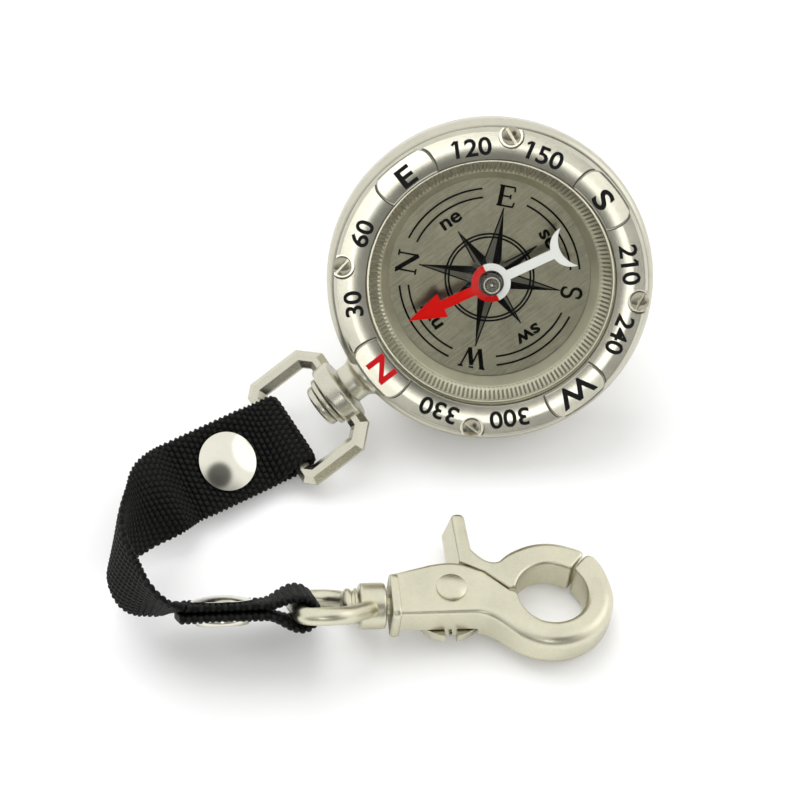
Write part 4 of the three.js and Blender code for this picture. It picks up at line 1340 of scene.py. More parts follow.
    def build_dial(self) -> None:
        """The brushed dial and its print."""
        low, high = self.dial_top - self.dial_thickness, self.dial_top
        disc = [(1.0, low), (self.dial_radius, low), (self.dial_radius, high), (1.0, high)]
        shape = lathe(disc, 128, closed=True)
        self.add("dial_disc", shape, [DIAL_METAL], "dial_metal", "dial_plate")
        print_ = DialPrint(self.dial_top + 0.01)
        self.add("dial_print", print_.black(), [DIAL_BLACK], "dial_metal")
        self.add("dial_star_halves", print_.grey(), [DIAL_GREY], "dial_metal")

    def build_swivel_pin(self) -> None:
        """The washer and the riveted head that keep the loop on the neck."""
        disc = self.along_stem(filleted(self.washer, closed=True), closed=True)
        self.add("swivel_disc", disc, [SATIN_NICKEL], "plated_metal", "swivel_washer")
        pin = self.along_stem(filleted(self.pin))
        self.add("swivel_head", pin, [SATIN_NICKEL], "plated_metal", "swivel_post")


@dataclass
class DialPrint:
    """The compass rose, arcs and letters printed on the dial."""

    height: float
    north: float = -49.0
    major_tip: float = 12.0
    minor_tip: float = 9.45
    root: float = 3.55
    circles: tuple[float, float] = (7.4, 6.85)
    arcs: tuple[float, float] = (15.1, 13.6)
    line: float = 0.33
    depth: float = 0.02
    letter_radius: float = 14.0
    letter_height: float = 3.3
    small_radius: float = 11.6
    small_height: float = 2.5
    small_bold: float = 0.09
    small_wide: float = 1.15
    arc_span: Point = (15.5, 74.0)
    edge_line: float = 0.24

    def at(self, bm: Shape, radius: float, degrees: float, lift: float = 0.0) -> Shape:
        """Sets a shape upright on the dial.

        Args:
            bm: The shape.
            radius: Distance from the middle.
            degrees: Angle clockwise from the dial's north.
            lift: Height above the print.
        Returns:
            The shape.
        """
        angle = self.north - degrees
        spot = polar(radius, angle) + Vector((0, 0, self.height + lift))
        upright = Matrix.Rotation(math.radians(angle - 90), 4, "Z")
        return turned(bm, Matrix.Translation(spot) @ upright)

    def half_point(self, degrees: float, tip: float, side: int) -> Shape:
        """One half of a point of the star.

        Args:
            degrees: The point's angle.
            tip: Its length.
            side: 1 for its clockwise half, or -1.
        Returns:
            The half.
        """
        outline = [(0.0, 0.0), (0.0, tip)]
        flank = self.flank(tip, side)
        outline.insert(2 if side > 0 else 1, (flank.x, flank.y))
        return self.at(plate(outline, 0.0, self.depth), 0.0, degrees)

    def flank(self, tip: float, side: int) -> Vector:
        """Where a half point meets its neighbour, or stops short of it if short and grey."""
        return polar(self.root, 90 - side * (22.5 if side > 0 or tip > self.minor_tip else 11.0))

    def star(self, side: int) -> list[Shape]:
        """All half points of one side."""
        minor = [self.half_point(d, self.minor_tip, side) for d in DIAGONALS]
        return minor + [self.half_point(d, self.major_tip, side) for d in QUARTERS]

    def grey(self) -> Shape:
        """The grey halves of the star's points."""
        return merged(self.star(-1))

    def black(self) -> Shape:
        """Everything printed in black.

        Returns:
            The print.
        """
        parts = self.star(1)
        for radius in self.circles:
            for start in (0, 45):
                parts += [self.curved(radius, d + start, d + start + 45) for d in QUARTERS]
        start, stop = self.arc_span
        for radius in self.arcs:
            parts += [self.curved(radius, d + start, d + stop) for d in QUARTERS]
        parts += [self.outlined(d, tip) for d, tip in self.tips()]
        for degrees, lines in zip(QUARTERS, self.serif_letters()):
            parts.append(self.at(strokes(lines, self.depth), self.letter_radius, degrees))
        for degrees, text in zip(DIAGONALS, ("ne", "se", "sw", "nw")):
            word = lettered(text, self.small_height, self.depth, self.small_bold, self.small_wide)
            parts.append(self.at(word, self.small_radius, degrees))
        return merged(parts)

    def tips(self) -> list[tuple[float, float]]:
        """The angle and length of every point of the star."""
        return [(45.0 * i, self.minor_tip if i % 2 else self.major_tip) for i in range(8)]

    def outlined(self, degrees: float, tip: float) -> Shape:
        """The thin black edge of a point's grey half.

        Args:
            degrees: The point's angle.
            tip: Its length.
        Returns:
            The edge.
        """
        flank = self.flank(tip, -1)
        edge = ([(flank.x, flank.y), (0.0, tip)], self.edge_line)
        return self.at(strokes([edge], self.depth), 0.0, degrees, 0.004)

    def curved(self, radius: float, start: float, stop: float) -> Shape:
        """A printed arc between two angles clockwise from the dial's north."""
        line = arc(0, 0, radius, 90 - start, 90 - stop, 24)
        return self.at(strokes([(line, self.line)], self.depth), 0.0, 0.0, 0.002)

    def serif_letters(self) -> list[list[tuple[Sequence[Point], float]]]:
        """Strokes of N, E, S and W with serifs, about their middles.

        Returns:
            The strokes of each letter.
        """
        half = self.letter_height / 2
        wide, thick, thin = half * 0.86, 0.74, 0.31

        def serif(x: float, y: float, reach: float = 0.5) -> tuple[Sequence[Point], float]:
            """A short flat serif."""
            return [(x - reach, y), (x + reach, y)], thin

        letter_n = [
            ([(-wide, -half), (-wide, half)], thin),
            ([(-wide - 0.1, half), (wide, -half)], thick),
            ([(wide, half), (wide, -half)], thin),
            serif(-wide, -half),
            serif(-wide - 0.1, half, 0.4),
            serif(wide, half),
        ]
        left = -wide * 0.62
        letter_e = [
            ([(left, -half), (left, half)], thick),
            ([(left - 0.5, half), (wide * 0.9, half)], thin),
            ([(left - 0.5, -half), (wide, -half)], thin),
            ([(left, 0), (wide * 0.5, 0)], thin),
            ([(wide * 0.85, half), (wide * 0.9, half - 0.75)], thin),
            ([(wide * 0.95, -half), (wide * 1.05, -half + 0.8)], thin),
            ([(wide * 0.5, -0.4), (wide * 0.5, 0.4)], thin),
        ]
        bowl = half * 0.5
        upper = arc(0, half - bowl, bowl, 40, 250, 14)
        lower = arc(0, -half + bowl, bowl, 70, -140, 14)
        letter_s = [
            (upper + lower, 0.52),
            ([(bowl * 0.86, half - bowl * 0.1), (bowl * 0.86, half - bowl)], thin),
            ([(-bowl * 0.86, -half + bowl * 0.1), (-bowl * 0.86, -half + bowl)], thin),
        ]
        spread = half * 1.12
        letter_w = [
            ([(-spread, half), (-spread * 0.45, -half)], thick),
            ([(-spread * 0.45, -half), (0.0, half * 0.8)], thin),
            ([(0.0, half * 0.8), (spread * 0.45, -half)], thick),
            ([(spread * 0.45, -half), (spread, half)], thin),
            serif(-spread, half),
            serif(0.0, half, 0.4),
            serif(spread, half, 0.45),
        ]
        return [letter_n, letter_e, letter_s, letter_w]


@dataclass
class Needle(Assembly):
    """The painted needle with its cap."""

    body: Body = field(default=Body.NEEDLE, init=False)
    group: str = field(default="needle", init=False)
    angle: float = -12.8
    tip: float = 15.05
    tail: float = 11.05
    hollow: float = 12.6
    horn: Point = (14.2, 3.5)
    hub: float = 3.25
    bore: float = 2.1
    shaft: float = 1.6
    head_length: float = 6.2
    head_width: float = 4.3
    low: float = -1.7
    high: float = -1.2
    edge: float = 0.08
    cap_radius: float = 1.8
    cap_top: float = 0.7
    bright_dot: float = 0.12
    bright_ring: Point = (0.66, 0.77)

    def build(self) -> None:
        """Builds the two painted halves and the cap."""
        turn = Matrix.Rotation(math.radians(self.angle), 4, "Z")
        for name, outline, finish, replaces in (
            ("needle_arrow", self.arrow(), NEEDLE_RED, ("needle",)),
            ("needle_crescent", self.crescent(), NEEDLE_WHITE, ()),
        ):
            shape = turned(plate(outline, self.low, self.high, self.edge, 2), turn)
            self.add(name, shape, [finish], "needle_paint", *replaces)
        self.build_cap()
        self.dress("needle_jewel", JEWEL)

    def shaft_foot(self) -> tuple[float, float]:
        """Half the shaft's width, and the angle in degrees at which it meets the hub."""
        half = self.shaft / 2
        return half, math.degrees(math.asin(half / self.hub))

    def arrow(self) -> list[Point]:
        """Outline of the red half, which points along +X.

        Returns:
            The points.
        """
        half, meet = self.shaft_foot()
        root = self.tip - self.head_length
        return [
            *arc(0, 0, self.bore, 90, -90, 20),
            *arc(0, 0, self.hub, -90, -meet, 12),
            (root, -half),
            (root, -self.head_width / 2),
            (self.tip, 0.0),
            (root, self.head_width / 2),
            (root, half),
            *arc(0, 0, self.hub, meet, 90, 12),
        ]

    def crescent(self) -> list[Point]:
        """Outline of the white half, with its crescent tail.

        Returns:
            The points.
        """
        half, meet = self.shaft_foot()
        reach, spread = self.horn

        def through_horns(deep: float) -> tuple[float, float, float]:
            """Middle, radius and first angle of an arc through both horns, so deep on the axis."""
            radius = (spread**2 + (reach - deep) ** 2) / (2 * (reach - deep))
            return deep + radius, radius, math.degrees(math.atan2(spread, reach - deep - radius))

        x, radius, tip = through_horns(self.tail)
        back = arc(x, 0, radius, 180 - math.degrees(math.asin(half / radius)), tip, 10)
        x, radius, tip = through_horns(self.hollow)
        front = arc(x, 0, radius, tip, 360 - tip, 18)[1:-1]
        moon = [*back, *front, *[(a, -b) for a, b in reversed(back)]]
        return [
            *arc(0, 0, self.bore, -90, -270, 20),
            *arc(0, 0, self.hub, 90, 180 - meet, 12),
            *[(-a, b) for a, b in moon],
            *arc(0, 0, self.hub, 180 + meet, 270, 12),
        ]

    def build_cap(self) -> None:
        """The steel cap on the needle's hub, with a painted highlight ring and a painted highlight
        dot in a paler metal.
        """
        radius, top = self.cap_radius, self.cap_top
        profile = [
            (1.2, self.low - 0.7, 0),
            (2.7, self.low - 0.7, 0),
            (2.7, self.low - 0.3, 0),
            (radius, self.low - 0.3, 0),
            (radius, top - 0.25, 0.3),
            (radius * 0.86, top - 0.1, 0.05),
            (radius * 0.75, top, 0.04),
            (radius * 0.68, top, 0.04),
            (radius * 0.62, top - 0.12, 0.05),
            (radius * 0.15, top - 0.12, 0.03),
            (radius * 0.11, top - 0.05, 0.03),
            (0.0, top - 0.05, 0),
        ]
        inside = [(0.0, top - 0.8), (1.2, top - 0.8)]
        shape = lathe([*inside, *filleted(profile)], 48)
        # Painted highlight: faces of a ring and a dot on top take the paler metal
        for face in shape.faces:
            middle = face.calc_center_median()
            share = middle.xy.length / radius
            highlit = share < self.bright_dot or self.bright_ring[0] < share < self.bright_ring[1]
            face.material_index = int(middle.z > top - 0.1 and highlit)
        steel_and_highlight = [DARK_STEEL, SATIN_NICKEL]
        self.add("needle_hub_cap", shape, steel_and_highlight, "cap_metal", "needle_cap")


@dataclass
class StrapLoop(Assembly):
    """The bevelled frame that turns on the compass's swivel pin."""

    body: Body = field(default=Body.LOOP, init=False)
    group: str = field(default="loop", init=False)
    start: float = 30.55
    eye_end: float = 33.55
    bar_at: float = 44.2
    bar: float = 2.5
    thickness: float = 2.7
    inner_width: float = 15.4
    side_bar: float = 3.2
    chamfer: float = 3.4
    eye_radius: float = 5.6
    bore: float = 1.95
    bore_wall: float = 1.4
    facet: float = 1.0
    nick: float = 0.5

    def build(self) -> None:
        """Builds the frame with its round eye."""
        half = self.inner_width / 2
        reach = half + self.side_bar
        end = self.bar_at + self.bar / 2
        outer = self.octagon(self.start, end, reach, self.chamfer, self.chamfer / 2)
        inner = self.octagon(self.eye_end, end - self.bar, half, self.bar / 2, self.nick)
        top = self.thickness / 2
        frame = plate(outer, -top, top, self.facet, 1, hole=inner)
        rim = [
            (self.bore, self.start, 0.2),
            (self.eye_radius, self.start, 0.6),
            (self.eye_radius, self.eye_end, 0.6),
            (self.bore, self.eye_end, 0.2),
        ]
        eye = turned(lathe(filleted(rim, closed=True), 72, closed=True), Z_TO_X)
        whole = merged([self.without_core(frame), eye])
        self.add("loop_frame", whole, [SATIN_NICKEL], "plated_metal", "strap_loop", sharp=28)

    def octagon(
        self, near: float, far: float, half: float, near_cut: float, far_cut: float
    ) -> list[Point]:
        """A rectangle with its corners cut off.

        Args:
            near: Place of its near end.
            far: Place of its far end.
            half: Half its width.
            near_cut: Cut at the near end.
            far_cut: Cut at the far end.
        Returns:
            The outline.
        """
        lower = [(near, -half + near_cut), (near + near_cut, -half)]
        lower += [(far - far_cut, -half), (far, -half + far_cut)]
        return lower + [(x, -y) for x, y in reversed(lower)]

    def without_core(self, frame: Shape) -> Shape:
        """Makes room in the frame for the eye's bore.

        Args:
            frame: The frame, which is used up.
        Returns:
            The cut frame.
        """
        radius, low, high = self.eye_radius - self.bore_wall, self.start - 1, self.eye_end + 1
        core = lathe([(0, low), (radius, low), (radius, high), (0, high)], 48)
        return carved(frame, [turned(core, Z_TO_X)])


@dataclass
class Station:
    """A place along the strap."""

    at: Vector
    width: Vector
    normal: Vector
    half: float
    pressed: float

    def towards(self, other: Station, share: float) -> Station:
        """A place on the way to another.

        Args:
            other: The other.
            share: Share of the way.
        Returns:
            The place.
        """
        return Station(
            self.at.lerp(other.at, share),
            self.width.lerp(other.width, share).normalized(),
            self.normal.lerp(other.normal, share).normalized(),
            self.half + (other.half - self.half) * share,
            self.pressed + (other.pressed - self.pressed) * share,
        )


@dataclass
class FoldedEnd:
    """One end of the strap, folded round a bar and riveted to itself."""

    at: Vector
    along: Vector
    up: Vector
    across: Vector
    bar: float
    twist: float
    rivet: float
    doubled: float
    run: float
    squeezed: float
    width: float = 14.6
    thickness: float = 1.5
    fit: float = 0.3
    settle: float = 5.5
    squeeze: float = 6.0
    sunk: float = 0.4

    def lean(self, s: float) -> tuple[Vector, Vector]:
        """How the end lies where it twists away from the bar.

        Args:
            s: Distance from the bar.
        Returns:
            The ways up and across.
        """
        angle = -math.radians(self.twist) * smooth(s / self.settle)
        turn = Matrix.Rotation(angle, 3, self.along)
        return turn @ self.up, turn @ self.across

    def offset(self, s: float) -> float:
        """Distance of each layer from the middle, wide at the bar.

        Args:
            s: Distance from the bar.
        Returns:
            The layer's distance.
        """
        apart = (self.thickness + self.fit) / 2
        wide = self.bar + self.fit + self.thickness / 2
        if s >= self.settle:
            return apart
        return apart + (wide - apart) * 0.5 * (1 + math.cos(math.pi * s / self.settle))

    def run_at(self, s: float) -> Vector:
        """A point on the middle of the upper layer."""
        return self.at + self.along * s + self.lean(s)[0] * self.offset(s)

    def stations(self) -> list[Station]:
        """Places from the cut end round the bar and out along the run.

        Returns:
            The places.
        """
        wide = self.offset(0.0)
        steps = [self.settle * i / 12 for i in range(1, 13)]
        route = [(s, -self.offset(s)) for s in [self.doubled, *reversed(steps)]]
        route += arc(0, 0, wide, -90, -270, 24)
        route += [(s, self.offset(s)) for s in [*steps, self.run]]
        found = []
        for i, (s, n) in enumerate(route):
            before, after = route[max(i - 1, 0)], route[min(i + 1, len(route) - 1)]
            step = Vector((after[0] - before[0], after[1] - before[1])).normalized()
            up, across = self.lean(s)
            half = self.squeezed + (self.width - self.squeezed) * smooth(s / self.squeeze)
            normal = self.along * -step.y + up * step.x
            spot = self.at + self.along * s + up * n
            found.append(Station(spot, across, normal, half / 2, smooth(s / self.settle)))
        return found

    def rivet_place(self) -> Matrix:
        """Frame on the middle of the doubled strap where the rivet sits.

        Returns:
            The frame.
        """
        up = self.lean(self.rivet)[0]
        side = up.cross(self.along)
        turn = Matrix((self.along, side, up)).transposed().to_4x4()
        return Matrix.Translation((self.at + self.along * self.rivet) * MM) @ turn


def spline(points: Sequence[Vector], spans: Sequence[float]) -> list[Vector]:
    """Points on a smooth curve through points.

    Args:
        points: The points, spaced unevenly.
        spans: Places to read, counted in points from the first.
    Returns:
        The curve at those places.
    """
    ends = [points[0] * 2 - points[1], *points, points[-1] * 2 - points[-2]]
    knots = [0.0]
    for a, b in zip(ends, ends[1:]):
        knots.append(knots[-1] + max(1e-6, math.sqrt((b - a).length)))
    found = []
    for place in spans:
        i = min(int(place), len(points) - 2)
        p, k = ends[i : i + 4], knots[i : i + 4]
        t = k[1] + (k[2] - k[1]) * (place - i)
        first = [p[j].lerp(p[j + 1], (t - k[j]) / (k[j + 1] - k[j])) for j in range(3)]
        second = [first[j].lerp(first[j + 1], (t - k[j]) / (k[j + 2] - k[j])) for j in range(2)]
        found.append(second[0].lerp(second[1], (t - k[1]) / (k[2] - k[1])))
    return found


@dataclass
class Strap:
    """The webbing strap with its two rivets."""

    shop: Shop
    loop_end: FoldedEnd
    eye_end: FoldedEnd
    shift: Vector
    yarns: int = 13
    yarn_along: float = 0.96
    yarn_steps: tuple[int, int] = (6, 4)
    relief: float = 0.48
    scallop: float = 0.2
    yarn_swell: Place = (2.4, 2.6, 0.6)
    selvedge_power: int = 6
    section_power: int = 12
    dimple_from: float = 4.6
    dimple_run: float = 2.6
    flattened: float = 0.75
    closed: float = 0.12
    bend_steps: int = 60
    release_steps: int = 4
    shear: float = 0.5
    leads: tuple[float, float] = (2.75, 1.0)
    flex_way: Place = (0.172, -0.975, 0.139)
    # Middle of the strap round its free bend, and the way its width points there
    bend: tuple[tuple[Place, Place], ...] = (
        ((-38.66, -26.76, 9.4), (-0.5, 0.62, 0.6)),
        ((-42.6, -32.4, 10.3), (-0.25, 0.1, 0.96)),
        ((-45.6, -40.6, 13.5), (0.2, -0.05, 0.97)),
        ((-43.4, -47.0, 12.9), (0.34, -0.16, 0.93)),
        ((-40.3, -50.3, 12.4), (0.29, -0.32, 0.91)),
        ((-37.2, -51.1, 11.4), (0.2, -0.47, 0.86)),
    )

    def build(self) -> None:
        """Builds the webbing and the rivets."""
        self.build_rivet(1, self.loop_end, Body.STRAP_UPPER)
        self.build_rivet(2, self.eye_end, Body.STRAP_LOWER)
        self.build_webbing()

    def bend_stations(self) -> list[Station]:
        """Places along the free bend between the riveted ends.

        Returns:
            The places.
        """
        first, last = self.loop_end, self.eye_end
        fit = first.fit
        start, stop = first.run + fit, last.run + fit
        leads = [first.run_at(start + k * self.leads[0]) for k in (-1, 0, 1)]
        ends = [last.run_at(stop + k * self.leads[1]) for k in (1, 0, -1)]
        middles = [Vector(at) + self.shift for at, _ in self.bend]
        lean_first, lean_last = first.lean(start)[1], last.lean(stop)[1]
        leans = [lean_first] * 3 + [Vector(width) for _, width in self.bend] + [lean_last] * 3
        points = [*leads, *middles, *ends]
        spans = [1 + (len(points) - 3) * i / self.bend_steps for i in range(self.bend_steps + 1)]
        places, widths = spline(points, spans), spline(leans, spans)
        found = []
        for i, (place, width) in enumerate(zip(places, widths)):
            way = (places[min(i + 1, len(places) - 1)] - places[max(i - 1, 0)]).normalized()
            width = (width - way * width.dot(way) * (1 - self.shear)).normalized()
            pressed = max(0.0, 1 - min(i, self.bend_steps - i) / self.release_steps)
            normal = width.cross(way).normalized()
            found.append(Station(place, width, normal, first.width / 2, pressed))
        return found

    def route(self) -> tuple[list[Station], list[float]]:
        """The whole strap from cut end to cut end.

        Returns:
            Its places, and the length at each.
        """
        last = reversed(self.eye_end.stations())
        whole = [*self.loop_end.stations(), *self.bend_stations(), *last]
        lengths = [0.0]
        for a, b in zip(whole, whole[1:]):
            lengths.append(lengths[-1] + (b.at - a.at).length)
        return whole, lengths

    def rows(self) -> tuple[list[Station], float]:
        """Evenly spaced places along the strap.

        Returns:
            The places, and the strap's length.
        """
        whole, lengths = self.route()
        count = round(lengths[-1] / self.yarn_along) * self.yarn_steps[1]
        found, i = [], 0
        for k in range(count + 1):
            want = lengths[-1] * k / count
            while i < len(whole) - 2 and lengths[i + 1] < want:
                i += 1
            t = (want - lengths[i]) / max(1e-6, lengths[i + 1] - lengths[i])
            a, b = whole[i], whole[i + 1]
            found.append(a.towards(b, t))
        return found, lengths[-1]

    def yarn(self, across: float, along: float) -> float:
        """Height of the weave from 0 to 1, each row of yarns between those of the last.

        Args:
            across: Place across the strap, counted in yarns.
            along: Place along the strap, counted in yarns.
        Returns:
            The height.
        """
        across += 0.5 * (math.floor(along) % 2)
        u, v = abs(2 * (across % 1.0) - 1), abs(2 * (along % 1.0) - 1)
        wide, long, root = self.yarn_swell
        return (1 - u**wide) ** root * (1 - v**long) ** root

    def build_webbing(self) -> None:
        """Weaves the strap as one length, with its bend drawn between both ends."""
        rows, length = self.rows()
        bm = bmesh.new()
        columns = 2 * self.yarns * self.yarn_steps[0]
        bmesh.ops.create_grid(bm, x_segments=columns, y_segments=len(rows) - 1, size=0.5)
        heights = bm.verts.layers.float.new("weave")
        half_thick = self.loop_end.thickness / 2
        for vert in bm.verts:
            around = (vert.co.x + 0.5) * 2
            row = round((vert.co.y + 0.5) * (len(rows) - 1))
            face = 1 if around <= 1 else -1
            share = 2 * around - 1 if face > 0 else 3 - 2 * around
            place = rows[row]
            along = row / self.yarn_steps[1]
            column = round((share + 1) / 2 * columns / 2)
            height = self.yarn(column / self.yarn_steps[0], along)
            edge = self.scallop * math.cos(FULL_TURN * (along - 0.5))
            half = place.half - self.scallop + edge * abs(share) ** self.selvedge_power
            pressed = place.pressed if face < 0 else 0.0
            relief = self.relief * (1 - self.flattened * pressed)
            deep = half_thick + self.closed * pressed
            thick = deep * (1 - abs(share) ** self.section_power) ** 0.5
            thick *= 1 - relief + relief * height
            middle = place.at + place.width * (share * half)
            thick -= self.dimple(middle) if face > 0 else 0.0
            vert.co = middle + place.normal * (face * thick)
            vert[heights] = height
        bmesh.ops.remove_doubles(bm, verts=bm.verts, dist=1e-3)
        rims = [e for e in bm.edges if e.is_boundary]
        bmesh.ops.holes_fill(bm, edges=rims, sides=0)
        here = Matrix.Identity(4)
        cloths = [self.shop.finish(Webbing(), here, "strap")]
        nodes = ("strap_compass_half", "strap_bend", "strap_hook_half")
        outward(bm)
        made = self.shop.piece("webbing_strap", bm, here, cloths, None, "webbing", nodes, 75)
        start, stop = self.flex_span()
        log.info("strap %.1f mm long, bends from %s to %s", length, start, stop)
        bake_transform(made)
        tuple(start)
        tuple(stop)
        flat = (self.loop_end.width * MM, length * MM)

    def dimple(self, spot: Vector) -> float:
        """How far a rivet draws the webbing in.

        Args:
            spot: A spot on the webbing.
        Returns:
            The depth there.
        """
        deep = 0.0
        for end in (self.loop_end, self.eye_end):
            away = spot - end.at - end.along * end.rivet
            up = end.lean(end.rivet)[0]
            radius = (away - up * away.dot(up)).length
            if abs(away.dot(up)) < 2 * end.thickness:
                deep += end.sunk * (1 - smooth((radius - self.dimple_from) / self.dimple_run))
        return deep

    def flex_span(self) -> tuple[Vector, Vector]:
        """Points along a set way, just past the first riveted end and just short of the second.

        Returns:
            The first and the last point.
        """
        way = Vector(self.flex_way).normalized()
        spread = [
            [
                (s.at + s.width * (side * s.half)).dot(way)
                for s in end.stations()
                for side in (-1, 1)
            ]
            for end in (self.loop_end, self.eye_end)
        ]
        fit = self.loop_end.fit
        return way * (max(spread[0]) + fit) * MM, way * (min(spread[1]) - fit) * MM

    def build_rivet(self, number: int, end: FoldedEnd, body: Body) -> None:
        """The domed cap and the base of one rivet.

        Args:
            number: The rivet's number.
            end: The end that it holds.
            body: The body that it rides on.
        """
        foot = end.thickness + end.fit / 2 - end.sunk
        place = end.rivet_place()
        cap = [
            (0.0, foot + 0.2),
            (4.3, foot + 0.2),
            *filleted([(4.4, foot - 0.12, 0), (4.9, foot, 0.2), (5.0, foot + 0.35, 0.2)]),
            *dome(4.98, foot + 0.42, foot + 1.25, 14),
        ]
        base = [
            (0.0, -foot - 1.0, 0),
            (1.0, -foot - 1.0, 0.1),
            (1.4, -foot - 0.75, 0.2),
            (3.4, -foot - 0.75, 0.3),
            (3.8, -foot - 1.1, 0.2),
            (4.2, -foot - 1.0, 0.2),
            (4.5, -foot - 0.5, 0.3),
            (4.5, -foot, 0.1),
            (0.0, -foot, 0),
        ]
        paints = [self.shop.finish(BRIGHT_NICKEL, place, f"rivet_{number}")]
        for name, bm, node in (
            ("rivet_dome", lathe(cap, 72), "rivet_cap"),
            ("rivet_ring", lathe(filleted(base), 56), "rivet_base"),
        ):
            nodes = [f"{node}_{number}"]
            self.shop.piece(f"{name}_{number}", bm, place, paints, body, "rivet_metal", nodes)


@dataclass
class SnapHook(Assembly):
    """The snap hook with its eye ring, swivel pin, trigger and rivet."""

    body: Body = field(default=Body.HOOK, init=False)
    group: str = field(default="hook", init=False)
    eye_place: Matrix
    run: float = 0.35
    fit: float = 0.3
    thickness: float = 7.0
    bevel: float = 2.1
    neck_half: float = 3.9
    neck_length: float = 13.5
    bow_at: float = 26.6
    bow_radius: float = 10.2
    hole_radius: float = 5.8
    nose: float = 47.0
    sweep_meets: float = 231.0
    crotch: float = -178.0
    edge_points: tuple[Point, ...] = ((15.8, 4.0), (11.6, 5.9), (7.2, 5.7), (1.9, 4.1))
    collar_half: float = 4.2
    collar_round: float = 1.6
    collar_depth: float = 1.5
    collar_bevel: float = 0.45
    pivot: Point = (10.2, 0.8)
    hub_radius: float = 6.0
    lap: float = 2.1
    lap_span: Point = (1.85, 14.6)
    lap_reach: float = 12.3
    trigger_gap: float = 3.0
    trigger_drop: float = 0.7
    bow_end: float = 140.0
    tab_height: float = 15.4
    tab_thickness: float = 2.1
    tab_draft: float = 1.2
    tab_foot: float = 9.0
    spring_notch: Place = (2.0, 1.9, 6.0)
    eye_bar: float = 1.45
    eye_length: float = 14.4
    eye_side: float = 9.25
    eye_corner: float = 2.4
    boss_length: float = 4.3
    boss_radius: float = 3.75
    boss_bore: float = 1.95

    def build(self) -> None:
        """Builds every piece of the snap hook."""
        self.build_eye()
        self.build_pin()
        self.build_body()
        self.build_trigger()
        self.build_pivot()
        self.dress("trigger_spring", SPRING_STEEL)

    def edge(self) -> list[Point]:
        """The body's edge beside the trigger, from the hole back to the neck."""
        points = [Vector((x, y, 0)) for x, y in self.edge_points]
        return xy_of(spline(points, [2 * i / 12 for i in range(13)]))

    def on_bow(self, radius: float, angle: float) -> Point:
        """The point at a radius and an angle about the middle of the bow."""
        return self.bow_arc(radius, angle, angle, 1)[0]

    def bow_arc(self, radius: float, start: float, stop: float, steps: int) -> list[Point]:
        """Points on a circle about the middle of the bow."""
        return arc(self.bow_at, 0, radius, start, stop, steps)

    def body_outline(self) -> list[Point]:
        """Outline of the hook's body seen from above.

        Returns:
            The points.
        """
        meet = self.on_bow(self.bow_radius, self.sweep_meets)
        knots = [
            Vector((self.neck_length, -self.neck_half)),
            Vector((self.neck_length + 3.0, -self.neck_half)),
            Vector((meet[0] - 2.0, meet[1] + 1.7)),
            Vector(meet),
        ]
        sweep = xy_of(geometry.interpolate_bezier(*knots, 14))
        crotch = self.on_bow(self.hole_radius, self.crotch)
        ends = [self.on_bow(r, self.nose) for r in (self.bow_radius, self.hole_radius)]
        outline = [
            (self.run, -self.neck_half),
            *sweep[:-1],
            *self.bow_arc(self.bow_radius, self.sweep_meets, 360 + self.nose, 48),
            *self.bow_arc(self.hole_radius, self.nose, self.crotch, 48),
            (self.bow_at - self.hole_radius - 1.2, 0.2),
            *self.edge(),
            (self.run, self.neck_half),
        ]
        return softened(outline, [(*ends[0], 1.6), (*ends[1], 1.2), (*crotch, 0.8)])

    def rounding(self, spot: Vector) -> float:
        """Width of the body's rounded edges, which grows towards the bow and eases at the nose.

        Args:
            spot: A point on an edge.
        Returns:
            The width there.
        """
        out = spot.xy - Vector((self.bow_at, 0.0))
        from_nose = (self.nose - math.degrees(math.atan2(out.y, out.x))) % 360.0
        nose = min(1.0, math.radians(min(from_nose, 360.0 - from_nose)) * out.length / 6.0)
        if out.length < self.hole_radius + 0.4:
            crotch = clamp((222.0 - from_nose) / 60.0)
            return 0.3 + 0.2 * crotch + 0.6 * nose * crotch
        if spot.y > -0.5 and spot.x < self.bow_at - self.hole_radius:
            return 0.3 + 0.5 * clamp((19.6 - spot.x) / 8.0)
        fullest = self.bevel * nose + 0.5 * (1 - nose)
        return 0.8 + (fullest - 0.8) * smooth((spot.x - 12.0) / 12.0)

    def build_body(self) -> None:
        """The cast body with its collar, cut away over the trigger's hub."""
        top = self.thickness / 2
        body = rounded(plate(self.body_outline(), -top, top), self.rounding, 6)
        clear = self.hub_radius + self.run
        x, y = self.pivot
        lap_top = -top + self.lap
        reach = self.bow_at - self.hole_radius + self.fit
        start, stop = self.lap_span
        lap = [
            (start, -self.lap_reach),
            (stop, -self.lap_reach),
            (stop, -self.neck_half + self.fit),
            (x + clear, y - clear / 4),
            (reach, -self.run),
            (reach, self.lap_reach),
            (start, self.lap_reach),
        ]
        low = -self.thickness
        hub_room = lathe([(0, low), (clear, low), (clear, lap_top), (0, lap_top)], 64)
        cuts = [plate(lap, low, lap_top), turned(hub_room, Matrix.Translation((x, y, 0)))]
        self.cast("hook_casting", carved(body, cuts), "hook_body", sharp=33)
        half, tall, turn = self.collar_half, top + self.fit, self.collar_round
        signs = ((-1, -1), (1, -1), (1, 1), (-1, 1))
        corners = [(across * half, up * tall, turn) for across, up in signs]
        square = filleted(corners, 5, closed=True)
        collar = plate(square, self.run, self.run + self.collar_depth, self.collar_bevel, 3)
        self.cast("hook_collar", turned(collar, XY_TO_YZ))

    def cast(self, name: str, bm: Shape, *replaces: str, sharp: float = SHARP) -> None:
        """A cast piece that rides on the hook."""
        self.add(name, bm, [CAST_NICKEL], "plated_metal", *replaces, sharp=sharp)

